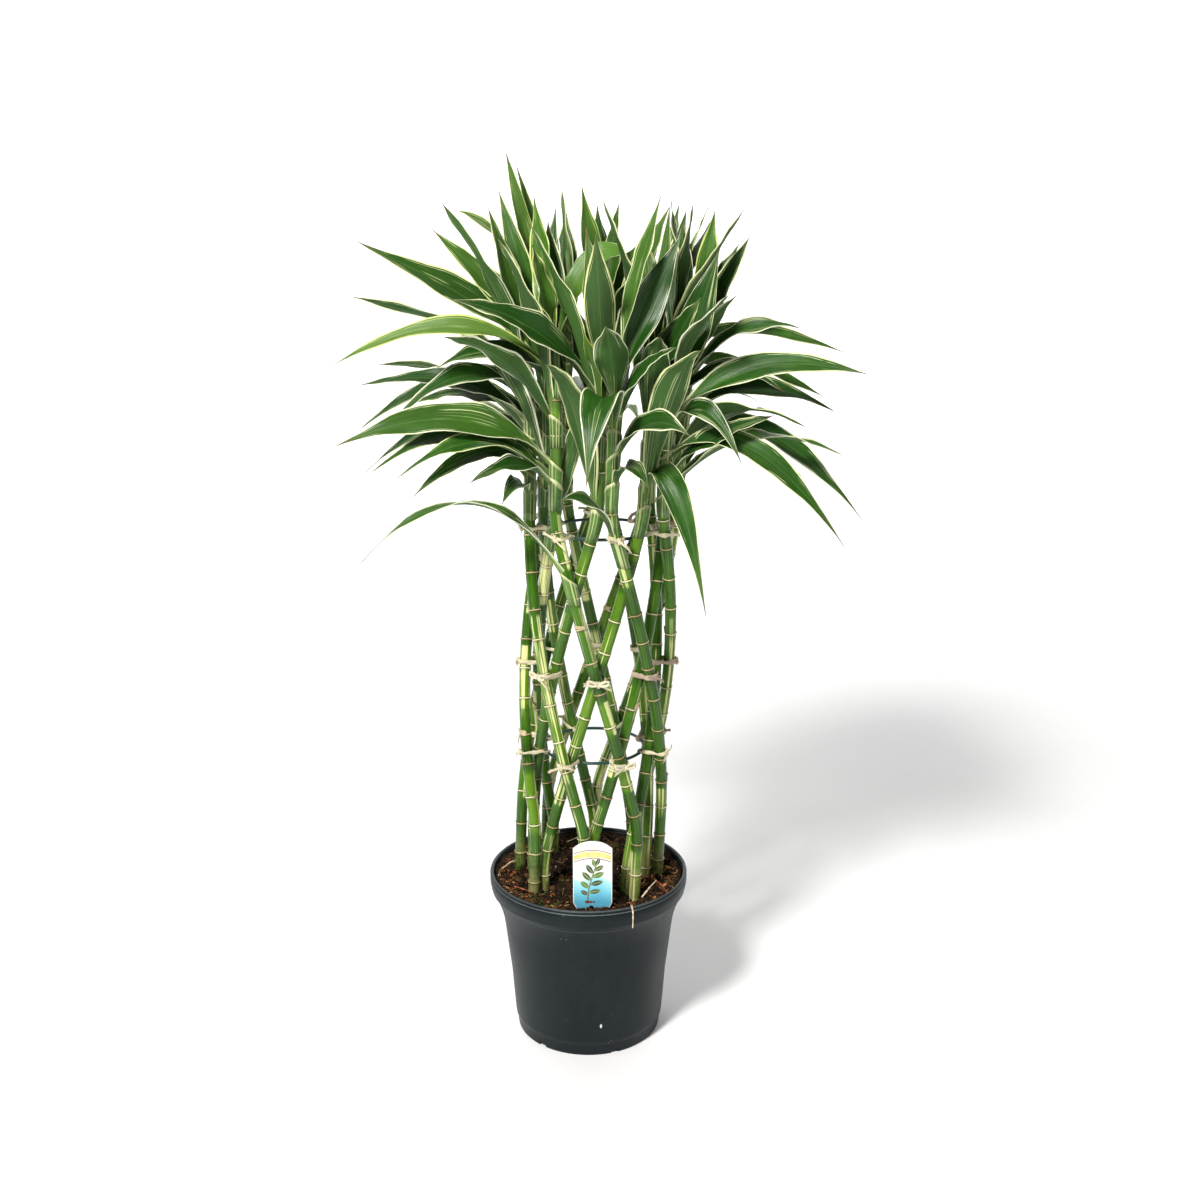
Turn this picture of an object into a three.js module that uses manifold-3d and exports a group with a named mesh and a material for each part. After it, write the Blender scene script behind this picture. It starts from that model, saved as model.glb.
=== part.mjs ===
// Lucky bamboo trained as an open round lattice, in a nursery pot.
// Millimetres, +Z up, origin under the middle of the pot on the surface it stands on.
// The front is -Y. Angles round the plant start at the front and turn toward +X.
import * as THREE from "three";
import { mergeVertices } from "three/addons/utils/BufferGeometryUtils.js";
import Module from "manifold-3d";

// Pot and soil
const potHeight = 145.2;
const potRimRadius = 85;
const potFootRadius = 62.3;
const potFootHeight = 10;
const potFloorTop = 5;
const potFloorThickness = 2;
const potSides = 26;
const drainSlots = 6;
const drainSlotWidth = 7;
const soilLevel = 140;
const soilGap = 0.4;
const holeRadius = 6.8;
// The pot's inner wall, from its floor up to its lip, as [radius, height].
const potInnerWall = [
  [61.3, potFloorTop],
  [66, 54],
  [72.2, 103.6],
  [75.4, 116],
  [80.8, 129],
];

// Plant label
const labelWidth = 32;
const labelTop = 200;
const labelArch = 6.5;
const labelShoulder = 145.5;
const labelCorner = 140.5;
const labelStakeWidth = 27;
const labelStakeFoot = 96;
const labelThickness = 0.9;
const labelPlace = new THREE.Vector2(4, -68);

// Canes of the lattice
const canesPerLayer = 8;
const caneRadius = 4.8;
const nodeRadius = 5.15;
const caneSides = 5;
const nodeSpacing = 36;
const caneFoot = 95;
const outerLayerRadius = 59.8;
const innerLayerRadius = 49;
const latticeFeet = { outer: 200, inner: 170 };
const latticeHead = 462;
const turnPerMillimetre = THREE.MathUtils.degToRad(0.306);
const topAngle = THREE.MathUtils.degToRad(5.2);
const latticeLean = 0.04;
const cornerSoftness = 14;
const crownSpread = 7;
const crownSpreadStart = 480;
const crownSpreadRise = 120;
const leafyTop = 60;

// Wire hoops inside the lattice
const wireRadius = 1.3;
const hoopGap = 0.4;
const hoopRadius = innerLayerRadius - nodeRadius - wireRadius - hoopGap;
const hoopHeights = { lower: 257, upper: 443.6 };
const hoopRoomSize = 56;
const hoopRoomHeight = 14;

// Raffia ties
const strapHeight = 3.6;
const strapThickness = 0.8;
const strapGap = 0.45;
const hookLength = 3;
const tieHalfWidths = { lower: 7.6, middle: 6.1, upper: 6.5 };
const middleRowHeight = 332;

// Leaves
const ribThickness = 1.4;
const leafClearance = 0.7;
const leavesPerOuterStem = 8;
const leavesPerInnerStem = 8;
const shownLeafSteps = 6;
const furtherLeafSteps = 4;
const furtherLeafTop = 700;

const wasm = await Module();
wasm.setup();

const caneGreen = new THREE.MeshStandardMaterial({ color: 0x5d8a34, roughness: 0.45, metalness: 0 });
const potSlate = new THREE.MeshStandardMaterial({ color: 0x2f383b, roughness: 0.6, metalness: 0 });
const darkPeat = new THREE.MeshStandardMaterial({ color: 0x3a2a20, roughness: 0.95, metalness: 0 });
const wireGreen = new THREE.MeshStandardMaterial({ color: 0x1f3b28, roughness: 0.4, metalness: 0 });
const raffia = new THREE.MeshStandardMaterial({ color: 0xd9cfae, roughness: 0.8, metalness: 0 });
const labelCard = new THREE.MeshStandardMaterial({ color: 0xe8ecef, roughness: 0.35, metalness: 0 });

// A repeatable draw between 0 and 1.
function seededDraw(seed) {
  let state = seed;
  return () => {
    state = (state + 0x6d2b79f5) | 0;
    let mixed = Math.imul(state ^ (state >>> 15), 1 | state);
    mixed = (mixed + Math.imul(mixed ^ (mixed >>> 7), 61 | mixed)) ^ mixed;
    return ((mixed ^ (mixed >>> 14)) >>> 0) / 4294967296;
  };
}

function solidOf(geometry) {
  const bare = geometry.clone();
  bare.deleteAttribute("normal");
  bare.deleteAttribute("uv");
  const merged = mergeVertices(bare, 1e-3);
  return new wasm.Manifold(
    new wasm.Mesh({
      numProp: 3,
      vertProperties: new Float32Array(merged.attributes.position.array),
      triVerts: new Uint32Array(merged.index.array),
    }),
  );
}

function largestBody(solid) {
  const bodies = solid.decompose();
  return bodies.reduce((largest, body) => (body.volume() > largest.volume() ? body : largest));
}

// Joins pieces into one body. Hollows that the joining seals are filled, also those that
// close up when corners a micron apart are merged.
function fused(pieces) {
  const joined = largestBody(wasm.Manifold.union(pieces));
  return largestBody(solidOf(geometryOf(joined)));
}

// Whether every edge of a solid has two faces, also when corners that share a spot on a
// grid of this step are taken as one.
function staysClosed(solid, gridStep = 1e-4) {
  const { vertProperties, triVerts } = solid.getMesh();
  const spots = [];
  for (let i = 0; i < vertProperties.length; i += 3) {
    spots.push(Array.from(vertProperties.slice(i, i + 3), (value) => Math.round(value / gridStep)).join());
  }
  const facesAtEdge = new Map();
  for (let i = 0; i < triVerts.length; i += 3) {
    const face = Array.from(triVerts.slice(i, i + 3), (corner) => spots[corner]);
    if (new Set(face).size < 3) continue;
    face.forEach((spot, k) => {
      const edge = [spot, face[(k + 1) % 3]].sort().join(" ");
      facesAtEdge.set(edge, (facesAtEdge.get(edge) ?? 0) + 1);
    });
  }
  return [...facesAtEdge.values()].every((count) => count === 2);
}

function geometryOf(solid) {
  const mesh = solid.getMesh();
  const geometry = new THREE.BufferGeometry();
  geometry.setAttribute("position", new THREE.BufferAttribute(mesh.vertProperties, 3));
  geometry.setIndex(new THREE.BufferAttribute(mesh.triVerts, 1));
  geometry.computeVertexNormals();
  return geometry;
}

function named(name, geometry, material) {
  const mesh = new THREE.Mesh(geometry, material);
  mesh.name = name;
  return mesh;
}

// A turned shape about +Z, from [radius, height] pairs that start and end on the axis.
function turned(profile, sides) {
  const points = profile.map(([radius, height]) => new THREE.Vector2(radius, height));
  return new THREE.LatheGeometry(points, sides).rotateX(Math.PI / 2);
}

// A point at a radius, an angle and a height round the plant.
function roundPoint(radius, angle, height) {
  return new THREE.Vector3(radius * Math.sin(angle), -radius * Math.cos(angle), height);
}

// The pot: a tapering wall that flares out under a deep lip. It stands
// on a flat middle and on a notched foot ring, with a groove between them.
function makePot() {
  const outside = [
    [potFootRadius - 0.3, 0],
    [potFootRadius + 0.4, potFootHeight],
    [potFootRadius + 1.7, potFootHeight + 0.8],
    [67.6, 54],
    [71.8, 88],
    [73.9, 104],
    [77, 115.6],
    [80.2, 123.4],
    [83, 128.8],
    [84.3, 134],
    [potRimRadius, 135.2],
    [potRimRadius, potHeight - 1.4],
    [potRimRadius - 1.2, potHeight],
  ];
  const inside = [[81.8, potHeight], [81.2, potHeight - 2], ...potInnerWall.toReversed()];
  const underside = [
    [0, 0],
    [40, 0],
    [43, potFloorTop - potFloorThickness],
    [59.8, potFloorTop - potFloorThickness],
    [60.4, 0],
  ];
  const floor = [
    [41, potFloorTop],
    [38, potFloorThickness],
    [0, potFloorThickness],
  ];
  const wall = solidOf(turned([...underside, ...outside, ...inside, ...floor], potSides));
  const slots = [];
  for (let i = 0; i < drainSlots; i++) {
    const slot = new THREE.BoxGeometry(drainSlotWidth, 6, 2 * (potFloorTop - potFloorThickness));
    slot.translate(0, -potFootRadius, 0);
    slot.rotateZ(((i + 0.35) * 2 * Math.PI) / drainSlots);
    slots.push(solidOf(slot));
  }
  return wall.subtract(wasm.Manifold.union(slots));
}

// How far the loose soil stands above or below its level.
function soilBump(x, y) {
  const long = 1.7 * Math.sin(0.09 * x + 1.3) * Math.cos(0.11 * y - 0.4);
  const short = 0.9 * Math.sin(0.31 * x - 0.23 * y) + 0.6 * Math.cos(0.27 * y + 0.36 * x);
  return long + short;
}

function makeSoil(stems) {
  const side = potInnerWall.map(([radius, height]) => [radius - soilGap, height + soilGap]);
  const brim = [side.at(-1)[0], soilLevel - 2];
  const surface = [68, 50, 28, 0].map((radius) => [radius, soilLevel]);
  const profile = [[0, potFloorTop + soilGap], ...side, brim, ...surface];
  const geometry = turned(profile, potSides);
  const place = geometry.attributes.position;
  for (let i = 0; i < place.count; i++) {
    if (place.getZ(i) > soilLevel - 1) {
      place.setZ(i, soilLevel + soilBump(place.getX(i), place.getY(i)));
    }
  }
  const holes = stems.map((stem) => {
    const depth = soilLevel + 12 - caneFoot;
    const hole = new THREE.CylinderGeometry(holeRadius, holeRadius, depth, 6);
    const at = canePoint(stem, caneFoot);
    hole.rotateX(Math.PI / 2).translate(at.x, at.y, caneFoot - 0.5 + depth / 2);
    return solidOf(hole);
  });
  const slotWidth = labelStakeWidth + 2 * soilGap;
  const slot = new THREE.BoxGeometry(slotWidth, labelThickness + 2 * soilGap, soilLevel);
  slot.translate(labelPlace.x, labelPlace.y, labelStakeFoot - soilGap + soilLevel / 2);
  return solidOf(geometry).subtract(wasm.Manifold.union([...holes, solidOf(slot)]));
}

// The label: an arched tag whose lower corners are cut, on a flat stake that narrows down.
function makeLabel() {
  const half = labelWidth / 2;
  const stake = labelStakeWidth / 2;
  const outline = new THREE.Shape();
  outline.moveTo(-stake / 4, labelStakeFoot);
  outline.lineTo(stake / 4, labelStakeFoot);
  outline.lineTo(stake, labelCorner);
  outline.lineTo(half, labelShoulder);
  outline.lineTo(half, labelTop - labelArch);
  outline.quadraticCurveTo(half * 0.6, labelTop, 0, labelTop);
  outline.quadraticCurveTo(-half * 0.6, labelTop, -half, labelTop - labelArch);
  outline.lineTo(-half, labelShoulder);
  outline.lineTo(-stake, labelCorner);
  const flat = { depth: labelThickness, bevelEnabled: false, curveSegments: 5 };
  const tag = new THREE.ExtrudeGeometry(outline, flat);
  tag.translate(0, 0, -labelThickness / 2).rotateX(Math.PI / 2);
  return tag.translate(labelPlace.x, labelPlace.y, 0);
}

// Millimetres climbed past a corner, eased over the corner.
function climbedPast(height, corner) {
  const past = height - corner;
  if (past <= -cornerSoftness) return 0;
  if (past >= cornerSoftness) return past;
  return (past + cornerSoftness) ** 2 / (4 * cornerSoftness);
}

// The 16 stems. Outer canes lean left as they rise, inner canes lean right.
function listStems() {
  const outerTops = [592, 588, 600, 606, 612, 606, 598, 600];
  const innerTops = [584, 590, 598, 602, 606, 600, 596, 596];
  const stems = [];
  for (const layer of ["outer", "inner"]) {
    for (let i = 0; i < canesPerLayer; i++) {
      const hand = layer === "outer" ? 1 : -1;
      stems.push({
        number: stems.length + 1,
        hand,
        foot: latticeFeet[layer],
        radius: layer === "outer" ? outerLayerRadius : innerLayerRadius,
        top: (layer === "outer" ? outerTops : innerTops)[i],
        restAngle: hand * topAngle + (i * 2 * Math.PI) / canesPerLayer,
      });
    }
  }
  return stems;
}

function caneAngle(stem, height) {
  const climbed = climbedPast(height, stem.foot) - climbedPast(height, latticeHead);
  const left = latticeHead - stem.foot - climbed;
  return stem.restAngle + stem.hand * turnPerMillimetre * left;
}

// The middle of a cane at a height.
function canePoint(stem, height) {
  const spread = Math.max(0, (height - crownSpreadStart) / crownSpreadRise);
  const point = roundPoint(stem.radius + crownSpread * spread * spread, caneAngle(stem, height), height);
  point.x += latticeLean * Math.max(0, height - soilLevel);
  return point;
}

// Where a leaf grows: inside the cane, toward its tip.
function leafRoot(stem, height, tip) {
  const middle = canePoint(stem, height);
  const outward = tip.clone().sub(middle).setZ(0).normalize();
  return middle.addScaledVector(outward, caneRadius * 0.45);
}

// A closed tube through level rings of [height, radius], one vertex row for each ring.
function makeCane(stem) {
  const rings = [[caneFoot, caneRadius], [soilLevel + 5, caneRadius]];
  const firstNode = soilLevel + 8 + ((stem.number * 11) % nodeSpacing);
  for (let height = firstNode; height < stem.top - leafyTop; height += nodeSpacing) {
    rings.push([height, nodeRadius], [height + 1.8, caneRadius - 0.25]);
  }
  rings.push([stem.top, caneRadius * 0.55]);
  const positions = [];
  const faces = [];
  rings.forEach(([height, radius]) => {
    const middle = canePoint(stem, height);
    for (let i = 0; i < caneSides; i++) {
      const around = (i * 2 * Math.PI) / caneSides + stem.number;
      positions.push(middle.x + radius * Math.cos(around), middle.y + radius * Math.sin(around), height);
    }
  });
  for (let ring = 0; ring < rings.length - 1; ring++) {
    for (let i = 0; i < caneSides; i++) {
      const low = ring * caneSides + i;
      const lowNext = ring * caneSides + ((i + 1) % caneSides);
      faces.push(low, lowNext, lowNext + caneSides, low, lowNext + caneSides, low + caneSides);
    }
  }
  const lastRing = (rings.length - 1) * caneSides;
  for (let i = 1; i < caneSides - 1; i++) {
    faces.push(0, i + 1, i, lastRing, lastRing + i, lastRing + i + 1);
  }
  return solidFrom(positions, faces);
}

function solidFrom(positions, faces) {
  const geometry = new THREE.BufferGeometry();
  geometry.setAttribute("position", new THREE.Float32BufferAttribute(positions, 3));
  geometry.setIndex(faces);
  return solidOf(geometry);
}

// The midrib of a leaf, from inside its cane to its tip.
function midrib(base, tip, arch) {
  const chord = tip.clone().sub(base);
  const lift = chord.length() * 0.12;
  const first = base.clone().addScaledVector(chord, 0.3);
  first.z += arch * 1.33 + lift;
  const second = base.clone().addScaledVector(chord, 0.68);
  second.z += arch * 1.33;
  return new THREE.CubicBezierCurve3(base, first, second, tip);
}

// Share of the full width along a leaf: clasping base, widest before the middle, long point.
function leafWidthShare(t) {
  const widest = 0.4;
  if (t < widest) return 0.18 + 0.82 * Math.sin((Math.PI / 2) * (t / widest)) ** 1.4;
  return Math.cos(((Math.PI / 2) * (t - widest)) / (1 - widest)) ** 1.35;
}

// Left edge, rib top, rib underside and right edge of a leaf at t along its midrib.
function leafSection(leaf, curve, t, grow) {
  const middle = curve.getPoint(t);
  const along = curve.getTangent(t);
  const heading = new THREE.Vector3().subVectors(curve.v3, curve.v0).setZ(0).normalize();
  const right = new THREE.Vector3(heading.y, -heading.x, 0);
  const up = new THREE.Vector3().crossVectors(right, along).normalize();
  const roll = THREE.MathUtils.degToRad(leaf.roll) * Math.sin((Math.PI / 2) * Math.min(1, t / 0.45));
  const side = right.clone().multiplyScalar(Math.cos(roll)).addScaledVector(up, Math.sin(roll));
  const face = up.clone().multiplyScalar(Math.cos(roll)).addScaledVector(right, -Math.sin(roll));
  const half = (leaf.width / 2) * leafWidthShare(t) + grow;
  const fold = THREE.MathUtils.degToRad(10 + 34 * (1 - t) ** 2);
  const waveSize = leaf.wave * Math.sin(Math.PI * t);
  const edge = (hand) => {
    const wave = waveSize * Math.sin(2 * Math.PI * (leaf.waves * t + leaf.phase + 0.21 * hand));
    return middle
      .clone()
      .addScaledVector(side, hand * half * Math.cos(fold))
      .addScaledVector(face, half * Math.sin(fold) + wave);
  };
  const rib = ribThickness / 2 + grow;
  return [
    edge(-1),
    middle.clone().addScaledVector(face, rib),
    middle.clone().addScaledVector(face, -rib),
    edge(1),
  ];
}

// A folded, waved blade. Both faces are split into triangles alike.
function makeLeaf(leaf, curve, steps, start, grow) {
  const positions = [];
  const faces = [];
  for (let i = 0; i < steps; i++) {
    const t = start + (1 - start) * (i / steps) ** 1.15;
    leafSection(leaf, curve, t, grow).forEach((corner) => positions.push(...corner.toArray()));
  }
  const tip = curve.getPoint(1).addScaledVector(curve.getTangent(1), grow);
  positions.push(...tip.toArray());
  const pairs = [
    [0, 1],
    [1, 3],
    [3, 2],
    [2, 0],
  ];
  for (let i = 0; i < steps - 1; i++) {
    const near = 4 * i;
    const far = near + 4;
    for (const [a, b] of pairs) {
      const edgeFirst = a === 0 || a === 3;
      if (edgeFirst) faces.push(near + a, near + b, far + b, near + a, far + b, far + a);
      else faces.push(near + a, near + b, far + a, near + b, far + b, far + a);
    }
  }
  const last = 4 * (steps - 1);
  for (const [a, b] of pairs) faces.push(last + a, last + b, last + 4);
  faces.push(0, 2, 1, 1, 2, 3);
  return solidFrom(positions, faces);
}

// Leaves that give the crown its outline, by stem: height on the cane, tip as right, back
// and up, width, arch of the midrib above its chord, and roll of the blade.
function shownLeaves() {
  const leaf = (from, tip, width, arch, roll) => ({ from, tip, width, arch, roll, shown: true });
  return {
    1: [
      leaf(585, [55, -62, 705], 18, 4, -35),
      leaf(560, [70, -50, 675], 27, 5, -70),
      leaf(548, [14, -104, 612], 28, 8, -12),
      leaf(535, [65, -92, 596], 22, 10, -40),
      leaf(525, [0, -130, 500], 32, 42, 0),
      leaf(508, [75, -105, 534], 26, 16, -40),
      leaf(485, [46, -104, 494], 17, 16, -20),
      leaf(442, [-20, -100, 485], 15, 14, 40),
    ],
    9: [
      leaf(550, [-100, -82, 630], 27, 14, 50),
      leaf(568, [0, -78, 680], 22, 2, 0),
      leaf(575, [32, -30, 650], 20, 2, 60),
      leaf(545, [-5, -84, 604], 14, 3, 30),
    ],
    8: [
      leaf(572, [-190, -60, 580], 19, 25, 45),
      leaf(500, [-185, -90, 524], 29, 22, 55),
      leaf(485, [-85, -110, 500], 18, 12, 30),
      leaf(412, [-175, -92, 430], 13, 50, 12),
      leaf(590, [-40, -62, 670], 22, 3, 70),
    ],
    16: [
      leaf(560, [-110, -76, 580], 24, 16, 35),
      leaf(488, [-130, -84, 485], 22, 24, 40),
      leaf(448, [2, -64, 568], 15, 2, 60),
      leaf(592, [-40, -18, 705], 23, 2, 80),
      leaf(588, [34, -28, 656], 25, 30, -45),
    ],
    7: [
      leaf(560, [-195, 10, 630], 20, 8, 20),
      leaf(545, [-150, -50, 535], 21, 24, 35),
      leaf(530, [-180, -5, 560], 22, 14, 40),
      leaf(590, [-75, -10, 695], 20, 3, 55),
      leaf(470, [-65, -60, 475], 16, 12, 30),
    ],
    15: [
      leaf(575, [-175, -15, 670], 26, 5, 55),
      leaf(520, [-145, 40, 540], 22, 16, 35),
      leaf(585, [-120, 20, 680], 22, 3, 60),
      leaf(590, [-70, 30, 710], 20, 2, 60),
    ],
    6: [
      leaf(540, [-200, 60, 510], 22, 26, 35),
      leaf(500, [-200, 90, 470], 21, 30, 30),
      leaf(600, [-115, 50, 695], 16, 22, 20),
      leaf(600, [-65, 40, 742], 15, 2, 75),
    ],
    14: [
      leaf(580, [-95, 60, 645], 20, 6, 40),
      leaf(592, [-58, 60, 732], 13, 2, 75),
      leaf(596, [-20, 30, 715], 22, 2, 60),
    ],
    5: [leaf(600, [-5, 72, 715], 20, 2, 50), leaf(590, [45, 92, 670], 22, 10, -30)],
    12: [leaf(585, [45, 50, 676], 20, 4, 50)],
    4: [
      leaf(596, [80, 60, 695], 20, 3, -60),
      leaf(560, [205, 60, 540], 16, 14, -35),
      leaf(575, [215, 40, 580], 16, 15, -40),
    ],
    3: [
      leaf(575, [125, -10, 675], 22, 3, -65),
      leaf(592, [100, 20, 695], 20, 2, -60),
      leaf(562, [165, -20, 605], 21, 16, -35),
      leaf(530, [195, -15, 540], 22, 18, -40),
      leaf(512, [218, -30, 456], 22, 30, -50),
    ],
    11: [leaf(592, [65, 20, 705], 20, 2, -60), leaf(545, [155, 0, 555], 22, 18, -35)],
    2: [
      leaf(525, [115, -85, 510], 18, 26, -40),
      leaf(540, [100, -32, 665], 28, 4, -75),
      leaf(535, [210, -60, 574], 25, 18, -55),
      leaf(490, [140, -72, 545], 21, 6, -45),
      leaf(507, [195, -82, 446], 22, 32, -50),
    ],
    10: [
      leaf(580, [62, -30, 696], 14, 3, -20),
      leaf(484, [90, -95, 396], 22, 40, -50),
      leaf(555, [84, -62, 630], 27, 4, -70),
    ],
  };
}

// The rest of a stem's leaves, wound up the cane: every second one stands upright, and the
// others rise from drooping at the bottom to upright at the top.
function furtherLeaves(stem, count, draw) {
  const leaves = [];
  for (let i = 0; i < count; i++) {
    const share = (i + 0.35 + 0.4 * draw()) / count;
    const from = stem.top - 12 - 125 * (1 - share);
    const base = canePoint(stem, from);
    const wind = ((stem.number * 97 + i * 137.5) % 360) - 180;
    const swing = THREE.MathUtils.degToRad(wind * (0.34 + 0.3 * share) - 8 * (1 - stem.hand));
    const upright = (i % 2 === 0) === (stem.hand < 0);
    const rise = upright ? 58 + 22 * share : -4 + 78 * share;
    const climb = THREE.MathUtils.degToRad(rise + 10 * (draw() - 0.5));
    const reach = 118 + 48 * draw();
    const angle = caneAngle(stem, from) + swing;
    const tip = roundPoint(reach * Math.cos(climb), angle, reach * Math.sin(climb)).add(base);
    tip.z = Math.min(furtherLeafTop, tip.z);
    tip.x = THREE.MathUtils.clamp(tip.x, -150, 178);
    leaves.push({
      from,
      tip: tip.toArray(),
      width: 19 + 8 * draw(),
      arch: 4 + 26 * (1 - share),
      roll: 70 * (draw() - 0.5),
    });
  }
  return leaves;
}

// Swings, raises or shortens a leaf's tip, by a step of a fixed list.
function nudgedTip(base, tip, step) {
  const swings = [0, 7, -7, 14, -14, 22, -22, 31, -31];
  const raises = [0, 14, -14, 28, -28, 44];
  const trims = [1, 0.86, 0.72];
  const swing = THREE.MathUtils.degToRad(swings[step % swings.length]);
  const raise = raises[Math.floor(step / swings.length) % raises.length];
  const trim = trims[Math.floor(step / (swings.length * raises.length))];
  const reach = tip.clone().sub(base).multiplyScalar(trim);
  reach.applyAxisAngle(new THREE.Vector3(0, 0, 1), swing);
  return base.clone().add(reach).setZ(base.z + reach.z + raise);
}

const nudgeSteps = 162;

// Solids that a new leaf may not cross, each with its box and the stem that it grows on.
class Occupied {
  constructor() {
    this.entries = [];
  }

  add(solid, stemNumber, isLeaf = false) {
    this.entries.push({ solid, stemNumber, isLeaf, box: boxOf(solid) });
  }

  isClear(solid, test) {
    const box = boxOf(solid);
    const near = this.entries.filter((entry) => test(entry) && entry.box.intersectsBox(box));
    return near.every((entry) => entry.solid.intersect(solid).isEmpty());
  }
}

function boxOf(solid) {
  const { min, max } = solid.boundingBox();
  return new THREE.Box3(new THREE.Vector3(...min), new THREE.Vector3(...max));
}

// Bends a leaf clear of everything on other stems, and its outer part clear of its own, in
// a place where it also fuses with its stem to one closed surface.
function placeLeaf(stem, leaf, occupied, stemPieces) {
  const wanted = new THREE.Vector3(...leaf.tip);
  for (let step = 0; step < nudgeSteps; step++) {
    const tip = nudgedTip(canePoint(stem, leaf.from), wanted, step);
    if (tip.z > Math.max(wanted.z, furtherLeafTop)) continue;
    const base = leafRoot(stem, leaf.from, tip);
    const curve = midrib(base, tip, leaf.arch);
    const steps = leaf.shown ? shownLeafSteps : furtherLeafSteps;
    const smoothRoom = makeLeaf(leaf, curve, 7, 0.02, leafClearance);
    const facetedRoom = makeLeaf(leaf, curve, steps, 0, leafClearance);
    const otherStem = (entry) => entry.stemNumber !== stem.number;
    if (!occupied.isClear(smoothRoom, otherStem)) continue;
    if (!occupied.isClear(facetedRoom, otherStem)) continue;
    const outerRoom = makeLeaf(leaf, curve, 6, 0.3, leafClearance);
    const sameStem = (entry) => entry.isLeaf && entry.stemNumber === stem.number;
    if (!occupied.isClear(outerRoom, sameStem)) continue;
    const blade = makeLeaf(leaf, curve, steps, 0, 0);
    if (!occupied.isClear(blade, otherStem)) continue;
    if (staysClosed(fused([...stemPieces, blade]))) return blade;
  }
  return null;
}

// Each stem with its leaves: the leaves of the outline are placed first, on every stem.
function makeLeafyStems(stems, others) {
  const draw = seededDraw(20);
  const occupied = new Occupied();
  others.forEach((solid) => occupied.add(solid, 0));
  const pieces = new Map();
  for (const stem of stems) {
    const cane = makeCane(stem);
    occupied.add(cane, stem.number);
    pieces.set(stem.number, [cane]);
  }
  const shown = shownLeaves();
  const queue = [];
  for (const stem of stems) {
    for (const leaf of shown[stem.number] ?? []) queue.push([stem, leaf]);
  }
  for (const stem of stems) {
    const wanted = stem.hand > 0 ? leavesPerOuterStem : leavesPerInnerStem;
    const have = (shown[stem.number] ?? []).length;
    for (const leaf of furtherLeaves(stem, wanted - have, draw)) queue.push([stem, leaf]);
  }
  queue.forEach(([stem, leaf], order) => {
    leaf.wave = 1.2 + 1.6 * draw();
    leaf.waves = 1.6 + 1.2 * draw();
    leaf.phase = draw();
    const stemPieces = pieces.get(stem.number);
    const solid = placeLeaf(stem, leaf, occupied, stemPieces);
    if (solid) {
      occupied.add(solid, stem.number, true);
      stemPieces.push(solid);
    }
  });
  return stems.map((stem) => fused(pieces.get(stem.number)));
}

// A wire hoop that the inner canes stand round.
function makeHoop(height) {
  const hoop = new THREE.TorusGeometry(hoopRadius, wireRadius, 4, 32);
  return solidOf(hoop.translate(latticeLean * (height - soilLevel), 0, height));
}

// The room inside a hoop that the leaves leave free.
function hoopRoom(height) {
  const room = new THREE.BoxGeometry(hoopRoomSize, hoopRoomSize, hoopRoomHeight);
  return solidOf(room.translate(latticeLean * (height - soilLevel), 0, height));
}

// A flat strap round the canes at one place, with its cut ends across the front.
// The shape is drawn with x along the lattice and y outward, and extruded upward.
function makeStrap({ angle, height, inner, halfWidth, hoop, draw }) {
  const outer = outerLayerRadius + nodeRadius + strapGap;
  const loop = (grow) => [
    [-halfWidth - grow, inner - grow],
    [halfWidth + grow, inner - grow],
    [halfWidth + grow, outer + grow],
    [-halfWidth - grow, outer + grow],
  ];
  const toPoints = (corners) => corners.map(([x, y]) => new THREE.Vector2(x, -y)).reverse();
  const outline = new THREE.Shape(toPoints(loop(strapThickness)));
  outline.holes.push(new THREE.Path(toPoints(loop(0))));
  const band = new THREE.ExtrudeGeometry(outline, { depth: strapHeight, bevelEnabled: false });
  const parts = [solidOf(band.translate(0, 0, -strapHeight / 2))];
  const ends = new THREE.BoxGeometry(19 + 7 * draw(), strapThickness, 3.2);
  ends.rotateY(THREE.MathUtils.degToRad(64 * (draw() - 0.5)));
  parts.push(solidOf(ends.translate(3 * draw() - 1.5, -outer - strapThickness, 0)));
  if (hoop) parts.push(makeHook(halfWidth, hoop - height));
  const inPlace = fused(parts).rotate([0, 0, THREE.MathUtils.radToDeg(angle)]);
  return inPlace.translate([latticeLean * (height - soilLevel), 0, height]);
}

// The small loop of a strap that holds the wire hoop.
function makeHook(halfWidth, drop) {
  const square = (half) => [
    new THREE.Vector2(-half, -half),
    new THREE.Vector2(half, -half),
    new THREE.Vector2(half, half),
    new THREE.Vector2(-half, half),
  ];
  const room = wireRadius + strapGap;
  const outline = new THREE.Shape(square(room + strapThickness));
  outline.holes.push(new THREE.Path(square(room)));
  const loop = new THREE.ExtrudeGeometry(outline, { depth: hookLength, bevelEnabled: false });
  loop.rotateY(Math.PI / 2).translate(-hookLength / 2, -hoopRadius, drop);
  return solidOf(loop.rotateZ(Math.asin((halfWidth + 0.3 + hookLength / 2) / hoopRadius)));
}

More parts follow.
